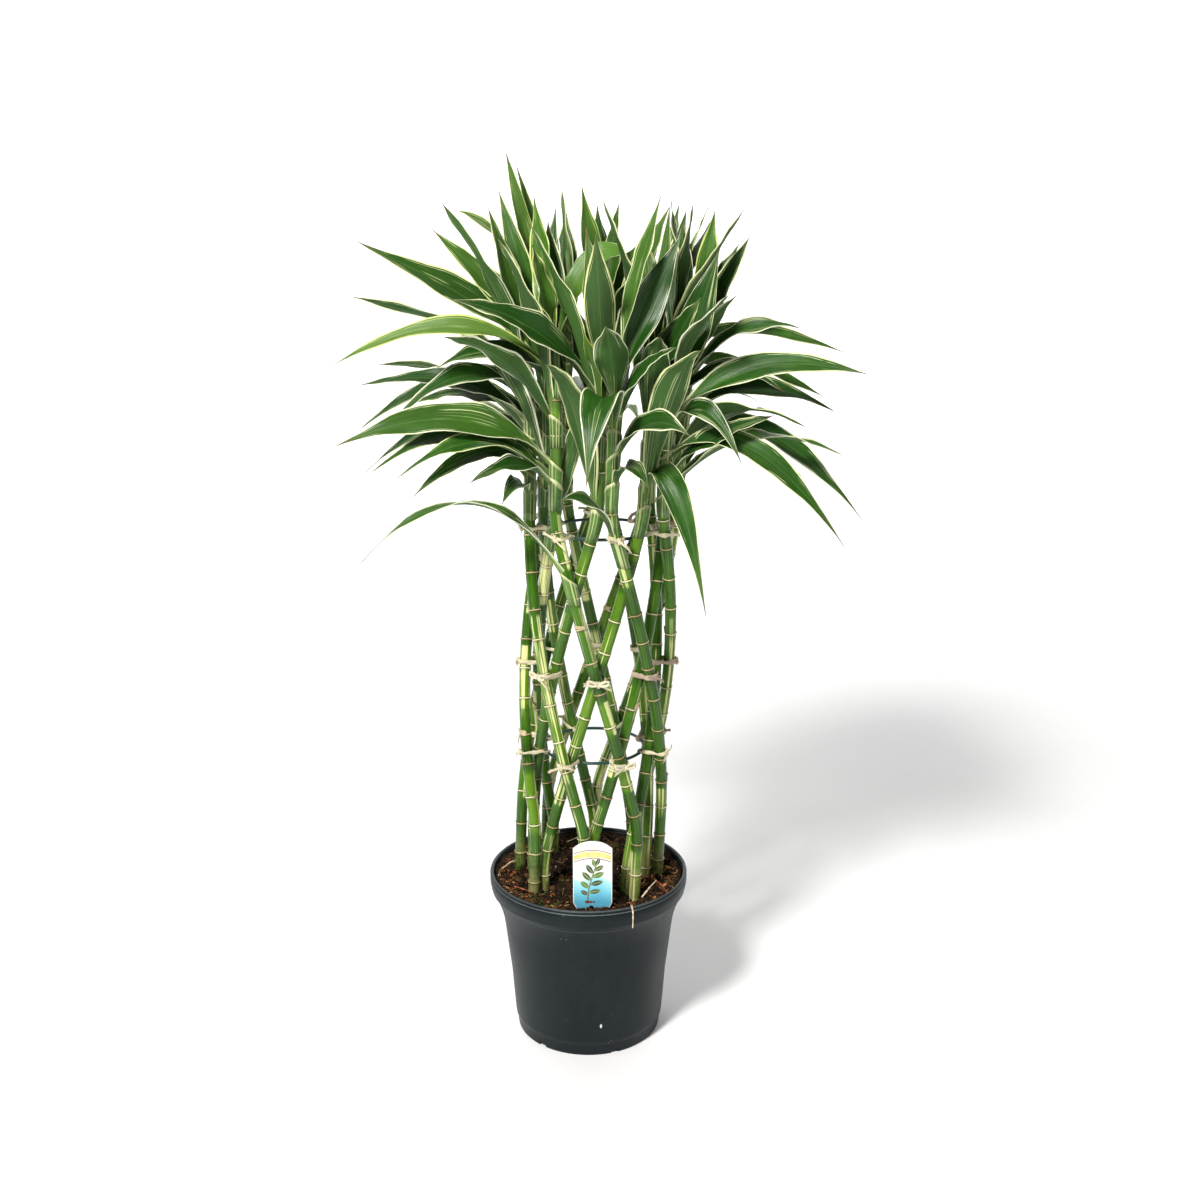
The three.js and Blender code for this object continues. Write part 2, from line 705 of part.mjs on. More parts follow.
// Three rows of ties: at the lower hoop, at the middle crossings and at the upper hoop.
function listTies(stems) {
  const draw = seededDraw(5);
  const hoopClearance = wireRadius + strapGap + strapHeight / 2;
  const inside = innerLayerRadius - nodeRadius - strapGap;
  const rows = [
    { name: "lower", height: hoopHeights.lower + hoopClearance, hoop: hoopHeights.lower },
    { name: "middle", height: middleRowHeight, hoop: 0 },
    { name: "upper", height: hoopHeights.upper + hoopClearance, hoop: hoopHeights.upper },
  ];
  const ties = [];
  for (const row of rows) {
    for (let i = 0; i < canesPerLayer; i++) {
      const outerAngle = caneAngle(stems[i], row.height);
      const eighth = (2 * Math.PI) / canesPerLayer;
      const crossing = eighth * (Math.round(outerAngle / eighth - 0.5) + 0.5);
      const straight = eighth * Math.round(outerAngle / eighth);
      const angle = { lower: crossing, middle: straight, upper: outerAngle }[row.name];
      const { name, height, hoop } = row;
      const strap = { angle, height, inner: inside, halfWidth: tieHalfWidths[name], hoop, draw };
      ties.push({ name: `tie_${row.name}_${i + 1}`, solid: makeStrap(strap) });
    }
  }
  return ties;
}

const stems = listStems();
const label = makeLabel();
const hoops = { lower: makeHoop(hoopHeights.lower), upper: makeHoop(hoopHeights.upper) };
const ties = listTies(stems);
const labelSolid = solidOf(label);
const leafyStems = makeLeafyStems(stems, [
  labelSolid,
  hoops.lower,
  hoops.upper,
  hoopRoom(hoopHeights.upper),
  ...ties.map((tie) => tie.solid),
]);

const plant = new THREE.Group();
plant.add(named("pot", geometryOf(makePot()), potSlate));
plant.add(named("soil", geometryOf(makeSoil(stems)), darkPeat));
plant.add(named("plant_label", label, labelCard));
plant.add(named("hoop_lower", geometryOf(hoops.lower), wireGreen));
plant.add(named("hoop_upper", geometryOf(hoops.upper), wireGreen));
leafyStems.forEach((solid, i) => {
  const number = String(i + 1).padStart(2, "0");
  plant.add(named(`leafy_stem_${number}`, geometryOf(solid), caneGreen));
});
ties.forEach((tie) => plant.add(named(tie.name, geometryOf(tie.solid), raffia)));

export default plant;
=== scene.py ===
import itertools
import math
import bpy
import numpy as np
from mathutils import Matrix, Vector, noise


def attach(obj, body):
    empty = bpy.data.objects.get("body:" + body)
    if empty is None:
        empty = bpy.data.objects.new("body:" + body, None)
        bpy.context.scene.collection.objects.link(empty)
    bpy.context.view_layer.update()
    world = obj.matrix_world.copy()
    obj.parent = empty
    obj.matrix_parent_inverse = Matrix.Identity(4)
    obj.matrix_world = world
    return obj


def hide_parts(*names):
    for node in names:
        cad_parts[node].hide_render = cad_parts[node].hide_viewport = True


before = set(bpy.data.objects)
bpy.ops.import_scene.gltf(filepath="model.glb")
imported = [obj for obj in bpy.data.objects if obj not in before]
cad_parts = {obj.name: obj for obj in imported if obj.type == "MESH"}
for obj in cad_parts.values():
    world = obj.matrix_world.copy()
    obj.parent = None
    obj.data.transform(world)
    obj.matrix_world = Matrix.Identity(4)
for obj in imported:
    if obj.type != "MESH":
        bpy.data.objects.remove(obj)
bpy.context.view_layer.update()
scene = bpy.context.scene
print("frame loaded,", len(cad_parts), "nodes")

# The camera stands where the photo was taken.
view = {"place": (0.010, -1.1001, 0.6718), "downward": 14.66, "lens": 41.42, "sensor": 36.0}
cameraData = bpy.data.cameras.new("camera")
cameraData.lens = view["lens"]
cameraData.sensor_width = view["sensor"]
camera = bpy.data.objects.new("camera", cameraData)
camera.location = view["place"]
camera.rotation_euler = (math.radians(90 - view["downward"]), 0, 0)
scene.collection.objects.link(camera)
scene.camera = camera

# Everything below is in millimetres until it becomes a mesh.
millimetre = 0.001
fullTurn = 2 * math.pi


def seededDraw(seed):
    # the same repeatable draw that placed the leaves of the frame
    state = seed
    step, limit = 0x6D2B79F5, 2 ** 32

    def draw():
        nonlocal state
        state = (state + step) % limit
        mixed = ((state ^ (state >> 15)) * (1 | state)) % limit
        mixed = ((mixed + (mixed ^ (mixed >> 7)) * (61 | mixed) % limit) % limit) ^ mixed
        return (mixed ^ (mixed >> 14)) / limit

    return draw


def unit(vector):
    return vector / np.linalg.norm(vector)


def clamped(value, low=0.0, high=1.0):
    return min(high, max(low, value))


def newPiece(name, points, edges, faces, attributes):
    # an object from points in millimetres, with numbers or vectors stored on them
    mesh = bpy.data.meshes.new(name)
    mesh.from_pydata((np.asarray(points, float) * millimetre).tolist(), edges, faces)
    for label, values in attributes.items():
        values = np.asarray(values, np.float32)
        kind, field = ("FLOAT", "value") if values.ndim == 1 else ("FLOAT_VECTOR", "vector")
        mesh.attributes.new(label, kind, "POINT").data.foreach_set(field, values.ravel())
    piece = bpy.data.objects.new(name, mesh)
    scene.collection.objects.link(piece)
    return piece


def meshObject(name, points, faces, material, attributes=None, smooth=True):
    piece = newPiece(name, points, [], faces, attributes or {})
    mesh = piece.data
    mesh.materials.append(material)
    mesh.polygons.foreach_set("use_smooth", [smooth] * len(mesh.polygons))
    mesh.update()
    return piece


def gridFaces(rows, columns, first=0, closed=False, flip=False):
    # quads between rows of points, each row of the same length
    faces = []
    across = columns if closed else columns - 1
    for i in range(rows - 1):
        for j in range(across):
            a = first + i * columns + j
            b = first + i * columns + (j + 1) % columns
            quad = [a, b, b + columns, a + columns]
            faces.append(quad[::-1] if flip else quad)
    return faces


def handOver(piece, slot, *nodes):
    if nodes:
        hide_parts(*nodes)
    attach(piece, "root")


def joined(pieces, name):
    bpy.ops.object.select_all(action="DESELECT")
    for piece in pieces:
        piece.select_set(True)
    bpy.context.view_layer.objects.active = pieces[0]
    bpy.ops.object.join()
    pieces[0].name = name
    return pieces[0]


def newGroup(name, kind, inputs, outputs):
    # a node group with named inputs and outputs, each given as (label, kind, default)
    group = bpy.data.node_groups.new(name, kind)
    for side, sockets in (("INPUT", inputs), ("OUTPUT", outputs)):
        for label, socketKind, *default in sockets:
            socketType = "NodeSocket" + socketKind
            socket = group.interface.new_socket(label, in_out=side, socket_type=socketType)
            if default:
                socket.default_value = default[0]
    given = group.nodes.new("NodeGroupInput").outputs
    wanted = group.nodes.new("NodeGroupOutput").inputs
    return group, given, wanted


def fill(tree, socket, value):
    if isinstance(value, bpy.types.NodeSocket):
        tree.links.new(value, socket)
    else:
        socket.default_value = value


def put(tree, kind, inputs=None, **settings):
    # a node with its settings, its inputs filled with plain values or links
    made = tree.nodes.new(kind)
    for label, value in settings.items():
        setattr(made, label, value)
    for label, value in (inputs or {}).items():
        fill(tree, made.inputs[label], value)
    return made


def worked(tree, operation, *values):
    inputs = dict(enumerate(values))
    return put(tree, "ShaderNodeMath", inputs, operation=operation).outputs[0]


def times(tree, a, b):
    return worked(tree, "MULTIPLY", a, b)


def plus(tree, a, b):
    return worked(tree, "ADD", a, b)


def minus(tree, a, b):
    return worked(tree, "SUBTRACT", a, b)


def scaled(tree, value, factor, extra):
    return worked(tree, "MULTIPLY_ADD", value, factor, extra)


def apart(tree, a, b):
    return worked(tree, "ABSOLUTE", minus(tree, a, b))


def between(tree, value, low, high):
    # 0 below low, 1 above high, eased
    inputs = {"Value": value, "From Min": low, "From Max": high}
    return put(tree, "ShaderNodeMapRange", inputs, interpolation_type="SMOOTHSTEP").outputs["Result"]


def ramp(tree, value, stops):
    # a colour ramp from [place, colour] stops
    made = put(tree, "ShaderNodeValToRGB", {"Fac": value})
    elements = made.color_ramp.elements
    while len(elements) < len(stops):
        elements.new(0.5)
    for element, (place, colour) in zip(elements, stops):
        element.position = place
        element.color = (*colour, 1.0)
    return made.outputs["Color"]


def opaque(colour):
    return (*colour, 1.0) if isinstance(colour, tuple) else colour


def layered(tree, colour, *layers):
    # tints laid over a colour one after another, each as (mask, share, tint)
    for mask, share, tint in layers:
        if share != 1.0:
            mask = times(tree, mask, share)
        inputs = {0: mask, 6: opaque(colour), 7: opaque(tint)}
        colour = put(tree, "ShaderNodeMix", inputs, data_type="RGBA").outputs[2]
    return colour


def attribute(tree, name, output="Fac"):
    return put(tree, "ShaderNodeAttribute", attribute_name=name).outputs[output]


def objectSpace(tree):
    return put(tree, "ShaderNodeTexCoord").outputs["Object"]


def cloudy(tree, space, scale, detail=2.0):
    inputs = {"Vector": space, "Scale": scale, "Detail": detail}
    return put(tree, "ShaderNodeTexNoise", inputs).outputs["Fac"]


def vectorMath(tree, operation, *values):
    inputs = dict(enumerate(values))
    return put(tree, "ShaderNodeVectorMath", inputs, operation=operation).outputs


def distanceFrom(tree, space, centre, squash):
    # how far from a centre, with each axis counted by its own share
    away = vectorMath(tree, "SUBTRACT", space, centre)[0]
    away = vectorMath(tree, "MULTIPLY", away, squash)[0]
    return vectorMath(tree, "LENGTH", away)["Value"]


def settled(piece, **options):
    # the piece as its modifiers leave it, as a plain mesh
    bpy.context.view_layer.update()
    graph = bpy.context.evaluated_depsgraph_get()
    source = piece.evaluated_get(graph)
    mesh = bpy.data.meshes.new_from_object(source, depsgraph=graph, **options)
    piece.modifiers.clear()
    piece.data = mesh
    return piece


def grown(piece, tree, values):
    # the piece as a geometry node tree makes it, with the tree's inputs given by name
    modifier = piece.modifiers.new(tree.name, "NODES")
    modifier.node_group = tree
    for item in tree.interface.items_tree:
        if item.item_type == "SOCKET" and item.in_out == "INPUT" and item.name in values:
            modifier[item.identifier] = values[item.name]
    return settled(piece, preserve_all_data_layers=True)


def namedValue(tree, name):
    inputs = {"Name": name}
    return put(tree, "GeometryNodeInputNamedAttribute", inputs, data_type="FLOAT").outputs["Attribute"]


def stored(tree, geometry, label, value, domain="POINT"):
    inputs = {"Geometry": geometry, "Name": label, "Value": value}
    made = put(tree, "GeometryNodeStoreNamedAttribute", inputs, data_type="FLOAT", domain=domain)
    return made.outputs["Geometry"]


def randomValue(tree, kind, low, high, seed):
    made = put(tree, "FunctionNodeRandomValue", {"Seed": seed}, data_type=kind)
    lowest, highest = [socket for socket in made.inputs if socket.enabled][:2]
    fill(tree, lowest, low)
    fill(tree, highest, high)
    return next(socket for socket in made.outputs if socket.enabled)


def endTree(tree, geometry, given, wanted):
    real = put(tree, "GeometryNodeRealizeInstances", {"Geometry": geometry}).outputs["Geometry"]
    inputs = {"Geometry": real, "Material": given["Finish"]}
    finished = put(tree, "GeometryNodeSetMaterial", inputs).outputs["Geometry"]
    tree.links.new(finished, wanted["Geometry"])


def makeUnevenTone():
    # two sizes of cloudy noise, as a value between 0 and 1
    inputs = [
        ("Vector", "Vector"),
        ("Broad Scale", "Float", 20.0),
        ("Fine Scale", "Float", 200.0),
        ("Fine Share", "Float", 0.4),
    ]
    group, given, wanted = newGroup("unevenTone", "ShaderNodeTree", inputs, [("Value", "Float")])
    broad = cloudy(group, given["Vector"], given["Broad Scale"], 3.0)
    fine = cloudy(group, given["Vector"], given["Fine Scale"], 4.0)
    mixed = put(group, "ShaderNodeMix", {0: given["Fine Share"], 2: broad, 3: fine})
    group.links.new(mixed.outputs[0], wanted["Value"])
    return group


def makeFibreLines():
    # narrow streaks along one direction of the given space, between 0 and 1
    inputs = [("Vector", "Vector"), ("Stretch", "Vector", (1.0, 1.0, 0.03)), ("Scale", "Float", 60.0)]
    group, given, wanted = newGroup("fibreLines", "ShaderNodeTree", inputs, [("Value", "Float")])
    stretched = vectorMath(group, "MULTIPLY", given["Vector"], given["Stretch"])[0]
    lines = cloudy(group, stretched, given["Scale"])
    group.links.new(between(group, lines, 0.3, 0.7), wanted["Value"])
    return group


unevenTone = makeUnevenTone()
fibreLines = makeFibreLines()


def toneOf(tree, space, broad, fine, share=0.4):
    inputs = {"Vector": space, "Broad Scale": broad, "Fine Scale": fine, "Fine Share": share}
    return put(tree, "ShaderNodeGroup", inputs, node_tree=unevenTone).outputs["Value"]


def linesOf(tree, space, stretch, scale=1.0):
    inputs = {"Vector": space, "Stretch": stretch, "Scale": scale}
    return put(tree, "ShaderNodeGroup", inputs, node_tree=fibreLines).outputs["Value"]


def newMaterial(name, roughness, specular=0.5):
    material = bpy.data.materials.new(name)
    material.use_nodes = True
    shader = material.node_tree.nodes["Principled BSDF"]
    shader.inputs["Roughness"].default_value = roughness
    shader.inputs["Specular IOR Level"].default_value = specular
    return material, material.node_tree


def surfaced(material, colour, rough, height, strength, depth):
    # a finish takes its colour, its roughness where that varies, and its relief
    tree = material.node_tree
    shader = tree.nodes["Principled BSDF"]
    tree.links.new(colour, shader.inputs["Base Color"])
    if rough is not None:
        tree.links.new(rough, shader.inputs["Roughness"])
    bump = put(tree, "ShaderNodeBump", {"Height": height, "Strength": strength, "Distance": depth})
    tree.links.new(bump.outputs["Normal"], shader.inputs["Normal"])
    return material


lattice = {
    "canesPerLayer": 8,
    "radius": {"outer": 59.8, "inner": 49.0},
    "foot": {"outer": 200.0, "inner": 170.0},
    "head": 462.0,
    "turnPerMillimetre": math.radians(0.306),
    "topAngle": math.radians(5.2),
    "lean": 0.04,
    "cornerSoftness": 14.0,
    "crownSpread": 7.0,
    "spreadStart": 480.0,
    "spreadRise": 120.0,
    "soilLevel": 140.0,
    "outerTops": [592, 588, 600, 606, 612, 606, 598, 600],
    "innerTops": [584, 590, 598, 602, 606, 600, 596, 596],
}


def roundPoint(radius, angle, height):
    return np.array([radius * math.sin(angle), -radius * math.cos(angle), height])


def climbedPast(height, corner):
    past = height - corner
    soft = lattice["cornerSoftness"]
    if past <= -soft:
        return 0.0
    if past >= soft:
        return past
    return (past + soft) ** 2 / (4 * soft)


def listStems():
    stems = []
    for layer, hand in (("outer", 1), ("inner", -1)):
        for i, top in enumerate(lattice[layer + "Tops"]):
            stem = {"number": len(stems) + 1, "hand": hand, "top": top}
            stem["foot"] = lattice["foot"][layer]
            stem["radius"] = lattice["radius"][layer]
            stem["restAngle"] = hand * lattice["topAngle"] + i * fullTurn / lattice["canesPerLayer"]
            stems.append(stem)
    return stems


def caneAngle(stem, height):
    climbed = climbedPast(height, stem["foot"]) - climbedPast(height, lattice["head"])
    left = lattice["head"] - stem["foot"] - climbed
    return stem["restAngle"] + stem["hand"] * lattice["turnPerMillimetre"] * left


def canePoint(stem, height):
    spread = max(0.0, (height - lattice["spreadStart"]) / lattice["spreadRise"])
    radius = stem["radius"] + lattice["crownSpread"] * spread * spread
    point = roundPoint(radius, caneAngle(stem, height), height)
    point[0] += lattice["lean"] * max(0.0, height - lattice["soilLevel"])
    return point


stems = listStems()

# Leaves that give the crown its outline, by stem: height on the cane, tip, width, arch of
# the midrib and roll of the blade.
shownLeaves = {
    1: [
        (585, (55, -62, 705), 18, 4, -35),
        (560, (70, -50, 675), 27, 5, -70),
        (548, (14, -104, 612), 28, 8, -12),
        (535, (65, -92, 596), 22, 10, -40),
        (525, (0, -130, 500), 32, 42, 0),
        (508, (75, -105, 534), 26, 16, -40),
        (485, (46, -104, 494), 17, 16, -20),
        (442, (-20, -100, 485), 15, 14, 40),
    ],
    9: [
        (550, (-100, -82, 630), 27, 14, 50),
        (568, (0, -78, 680), 22, 2, 0),
        (575, (32, -30, 650), 20, 2, 60),
        (545, (-5, -84, 604), 14, 3, 30),
    ],
    8: [
        (572, (-190, -60, 580), 19, 25, 45),
        (500, (-185, -90, 524), 29, 22, 55),
        (485, (-85, -110, 500), 18, 12, 30),
        (412, (-175, -92, 430), 13, 50, 12),
        (590, (-40, -62, 670), 22, 3, 70),
    ],
    16: [
        (560, (-110, -76, 580), 24, 16, 35),
        (488, (-130, -84, 485), 22, 24, 40),
        (448, (2, -64, 568), 15, 2, 60),
        (592, (-40, -18, 705), 23, 2, 80),
        (588, (34, -28, 656), 25, 30, -45),
    ],
    7: [
        (560, (-195, 10, 630), 20, 8, 20),
        (545, (-150, -50, 535), 21, 24, 35),
        (530, (-180, -5, 560), 22, 14, 40),
        (590, (-75, -10, 695), 20, 3, 55),
        (470, (-65, -60, 475), 16, 12, 30),
    ],
    15: [
        (575, (-175, -15, 670), 26, 5, 55),
        (520, (-145, 40, 540), 22, 16, 35),
        (585, (-120, 20, 680), 22, 3, 60),
        (590, (-70, 30, 710), 20, 2, 60),
    ],
    6: [
        (540, (-200, 60, 510), 22, 26, 35),
        (500, (-200, 90, 470), 21, 30, 30),
        (600, (-115, 50, 695), 16, 22, 20),
        (600, (-65, 40, 742), 15, 2, 75),
    ],
    14: [
        (580, (-95, 60, 645), 20, 6, 40),
        (592, (-58, 60, 732), 13, 2, 75),
        (596, (-20, 30, 715), 22, 2, 60),
    ],
    5: [(600, (-5, 72, 715), 20, 2, 50), (590, (45, 92, 670), 22, 10, -30)],
    12: [(585, (45, 50, 676), 20, 4, 50)],
    4: [
        (596, (80, 60, 695), 20, 3, -60),
        (560, (205, 60, 540), 16, 14, -35),
        (575, (215, 40, 580), 16, 15, -40),
    ],
    3: [
        (575, (125, -10, 675), 22, 3, -65),
        (592, (100, 20, 695), 20, 2, -60),
        (562, (165, -20, 605), 21, 16, -35),
        (530, (195, -15, 540), 22, 18, -40),
        (512, (218, -30, 456), 22, 30, -50),
    ],
    11: [(592, (65, 20, 705), 20, 2, -60), (545, (155, 0, 555), 22, 18, -35)],
    2: [
        (525, (115, -85, 510), 18, 26, -40),
        (540, (100, -32, 665), 28, 4, -75),
        (535, (210, -60, 574), 25, 18, -55),
        (490, (140, -72, 545), 21, 6, -45),
        (507, (195, -82, 446), 22, 32, -50),
    ],
    10: [
        (580, (62, -30, 696), 14, 3, -20),
        (484, (90, -95, 396), 22, 40, -50),
        (555, (84, -62, 630), 27, 4, -70),
    ],
}
# The rule for the other leaves. Rise, reach, width, arch and waves are a start and what is
# added to it along the stem or by a draw.
leafRule = {
    "perStem": 8,
    "highestTip": 700.0,
    "sideways": (-150.0, 178.0),
    "belowTop": 12,
    "depth": 125,
    "uprightRise": (58, 22),
    "levelRise": (-4, 78),
    "reach": (118, 48),
    "width": (19, 8),
    "arch": (4, 26),
    "roll": 70,
    "wave": (1.2, 1.6),
    "waves": (1.6, 1.2),
    "cornerGap": 0.02,
}
# How the frame swings, raises or shortens a leaf that would cross another, in this order.
nudges = {
    "swing": [0, 7, -7, 14, -14, 22, -22, 31, -31],
    "lift": [0, 14, -14, 28, -28, 44],
    "trim": [1, 0.86, 0.72],
}
print("lattice of", len(stems), "stems")


def ranged(pair, share):
    return pair[0] + pair[1] * share


def furtherLeaves(stem, count, draw):
    leaves = []
    for i in range(count):
        share = (i + 0.35 + 0.4 * draw()) / count
        start = stem["top"] - leafRule["belowTop"] - leafRule["depth"] * (1 - share)
        wind = ((stem["number"] * 97 + i * 137.5) % 360) - 180
        swing = math.radians(wind * (0.34 + 0.3 * share) - 8 * (1 - stem["hand"]))
        upright = (i % 2 == 0) == (stem["hand"] < 0)
        rise = ranged(leafRule["uprightRise" if upright else "levelRise"], share)
        climb = math.radians(rise + 10 * (draw() - 0.5))
        reach = ranged(leafRule["reach"], draw())
        angle = caneAngle(stem, start) + swing
        tip = roundPoint(reach * math.cos(climb), angle, reach * math.sin(climb))
        tip = tip + canePoint(stem, start)
        tip[2] = min(leafRule["highestTip"], tip[2])
        tip[0] = clamped(tip[0], *leafRule["sideways"])
        width = ranged(leafRule["width"], draw())
        arch = ranged(leafRule["arch"], 1 - share)
        roll = leafRule["roll"] * (draw() - 0.5)
        leaves.append({"from": start, "tip": tip, "width": width, "arch": arch, "roll": roll})
    return leaves


def nudgedTip(base, tip, trim, lift, swing):
    reach = (tip - base) * trim
    c, s = math.cos(math.radians(swing)), math.sin(math.radians(swing))
    return base + np.array([reach[0] * c - reach[1] * s, reach[0] * s + reach[1] * c, reach[2] + lift])


def nodeCorners(stem):
    # the corners of a stem's node in the frame, in millimetres
    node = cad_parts["leafy_stem_%02d" % stem["number"]]
    points = np.empty(len(node.data.vertices) * 3, np.float32)
    node.data.vertices.foreach_get("co", points)
    return points.reshape(-1, 3) / millimetre


def placedLeaves():
    # every leaf whose tip is found on its stem in the frame
    draw = seededDraw(20)
    queue = []
    for stem in stems:
        for start, tip, width, arch, roll in shownLeaves.get(stem["number"], []):
            leaf = {"from": start, "tip": np.array(tip, float), "width": width, "arch": arch}
            queue.append((stem, {**leaf, "roll": roll}))
    for stem in stems:
        count = leafRule["perStem"] - len(shownLeaves.get(stem["number"], []))
        queue.extend((stem, leaf) for leaf in furtherLeaves(stem, count, draw))
    corners = {stem["number"]: nodeCorners(stem) for stem in stems}
    placed = []
    for stem, leaf in queue:
        leaf["wave"] = ranged(leafRule["wave"], draw())
        leaf["waves"] = ranged(leafRule["waves"], draw())
        leaf["phase"] = draw()
        middle = canePoint(stem, leaf["from"])
        highest = max(leaf["tip"][2], leafRule["highestTip"]) + 0.001
        for nudge in itertools.product(nudges["trim"], nudges["lift"], nudges["swing"]):
            tip = nudgedTip(middle, leaf["tip"], *nudge)
            if tip[2] > highest:
                continue
            gap = np.abs(corners[stem["number"]] - tip).max(axis=1).min()
            if gap < leafRule["cornerGap"]:
                placed.append((stem, {**leaf, "tip": tip}))
                break
    return placed


leaves = placedLeaves()
print("leaves found on the frame:", len(leaves))


def makeBladeFinish():
    # green blade with cream margins, fine lengthwise veins and a paler underside
    material, tree = newMaterial("leafBlade", 0.4, 0.26)
    space = attribute(tree, "bladeSpace", "Vector")
    edgeGap, under = attribute(tree, "edgeGap"), attribute(tree, "underside")
    fromCane, dry = attribute(tree, "alongBlade"), attribute(tree, "dryTip")
    uneven = toneOf(tree, objectSpace(tree), 26.0, 140.0)
    veins = linesOf(tree, space, (15.0, 1.2, 1.0))
    broadLines = linesOf(tree, space, (4.0, 0.5, 1.0))
    mixed = plus(tree, times(tree, uneven, 0.55), times(tree, attribute(tree, "leafTone"), 0.45))
    stops = [(0.15, (0.003, 0.018, 0.0012)), (0.5, (0.0108, 0.058, 0.0026)), (0.85, (0.052, 0.168, 0.0075))]
    green = ramp(tree, mixed, stops)
    stops = [(0.0, (0.80, 0.82, 0.60)), (0.6, (0.68, 0.72, 0.30)), (1.0, (0.46, 0.60, 0.09))]
    cream = ramp(tree, attribute(tree, "marginTone"), stops)
    rib = between(tree, attribute(tree, "ribGap"), 0.9, 0.2)
    # the margin's width wanders along the leaf, and here and there a thin line runs beside it
    wander = cloudy(tree, space, 1.6)
    width = scaled(tree, wander, 1.9, attribute(tree, "marginWidth"))
    margin = between(tree, minus(tree, width, edgeGap), 0.0, 0.35)
    inner = between(tree, apart(tree, edgeGap, plus(tree, width, 0.9)), 0.28, 0.1)
    inner = times(tree, inner, between(tree, wander, 0.45, 0.6))
    # some leaves have groups of thin cream lines
    thin = between(tree, linesOf(tree, space, (17.0, 0.16, 1.0)), 0.72, 0.95)
    thin = times(tree, thin, between(tree, cloudy(tree, space, 1.15, 0.0), 0.5, 0.62))
    # and some have a dry brown tip
    dead = between(tree, plus(tree, fromCane, times(tree, uneven, 0.04)), dry, 1.03)
    dead = times(tree, dead, between(tree, dry, 1.0, 0.98))
    colour = layered(
        tree,
        green,
        (veins, 0.20, (0.052, 0.140, 0.020)),
        (broadLines, 0.35, (0.008, 0.038, 0.006)),
        (attribute(tree, "paleShare"), 1.0, (0.18, 0.33, 0.05)),
        (under, 0.55, (0.054, 0.114, 0.030)),
        (rib, 0.2, (0.14, 0.26, 0.06)),
        (inner, 0.6, cream),
        (times(tree, thin, attribute(tree, "stripeShare")), 1.0, (0.45, 0.52, 0.24)),
        (margin, 0.94, cream),
        (between(tree, fromCane, 0.84, 0.97), 0.75, (0.085, 0.115, 0.035)),
        (between(tree, fromCane, 0.16, 0.02), 0.6, (0.20, 0.31, 0.06)),
        (dead, 1.0, (0.20, 0.095, 0.035)),
    )
    rough = scaled(tree, veins, 0.12, scaled(tree, under, 0.2, 0.3))
    height = plus(tree, veins, times(tree, broadLines, 1.5))
    return surfaced(material, colour, rough, height, 0.35, 0.0003)


def makeCaneFinish():
    # glossy green internodes, some with cream streaks, and tan node rings
    material, tree = newMaterial("caneSkin", 0.3, 0.32)
    space = attribute(tree, "caneSpace", "Vector")
    ring, internode = attribute(tree, "ringMask"), attribute(tree, "internodeTone")
    uneven = toneOf(tree, objectSpace(tree), 40.0, 300.0)
    fibres = linesOf(tree, space, (5.0, 5.0, 0.25))
    mixed = plus(tree, times(tree, uneven, 0.45), times(tree, internode, 0.55))
    stops = [(0.15, (0.008, 0.041, 0.001)), (0.5, (0.032, 0.114, 0.002)), (0.85, (0.126, 0.250, 0.008))]
    green = ramp(tree, mixed, stops)
    aged = plus(tree, times(tree, uneven, 0.6), times(tree, internode, 0.4))
    stops = [(0.25, (0.30, 0.19, 0.07)), (0.45, (0.62, 0.52, 0.24)), (0.65, (0.84, 0.80, 0.50))]
    tan = ramp(tree, aged, stops)
    streak = between(tree, linesOf(tree, space, (1.15, 1.15, 0.045)), 0.64, 0.76)
    streak = times(tree, streak, between(tree, internode, 0.38, 0.56))
    streak = times(tree, streak, between(tree, fibres, -0.1, 0.4))
    old = between(tree, attribute(tree, "heightShare"), 0.10, 0.0)
    old = times(tree, old, between(tree, uneven, 0.35, 0.6))
    specks = between(tree, cloudy(tree, objectSpace(tree), 900.0, 1.0), 0.66, 0.74)
    colour = layered(
        tree,
        green,
        (fibres, 0.28, (0.11, 0.23, 0.03)),
        (streak, 0.92, (0.74, 0.74, 0.34)),
        (attribute(tree, "sheathMask"), 0.35, (0.14, 0.26, 0.04)),
        (old, 0.75, (0.34, 0.30, 0.12)),
        (specks, 0.55, (0.14, 0.09, 0.03)),
        (between(tree, ring, 0.15, 0.6), 1.0, tan),
        (attribute(tree, "scarMask"), 0.8, (0.05, 0.035, 0.012)),
    )
    rough = scaled(tree, ring, 0.4, scaled(tree, fibres, 0.12, 0.18))
    height = plus(tree, fibres, times(tree, uneven, 0.6))
    return surfaced(material, colour, rough, height, 0.3, 0.0004)


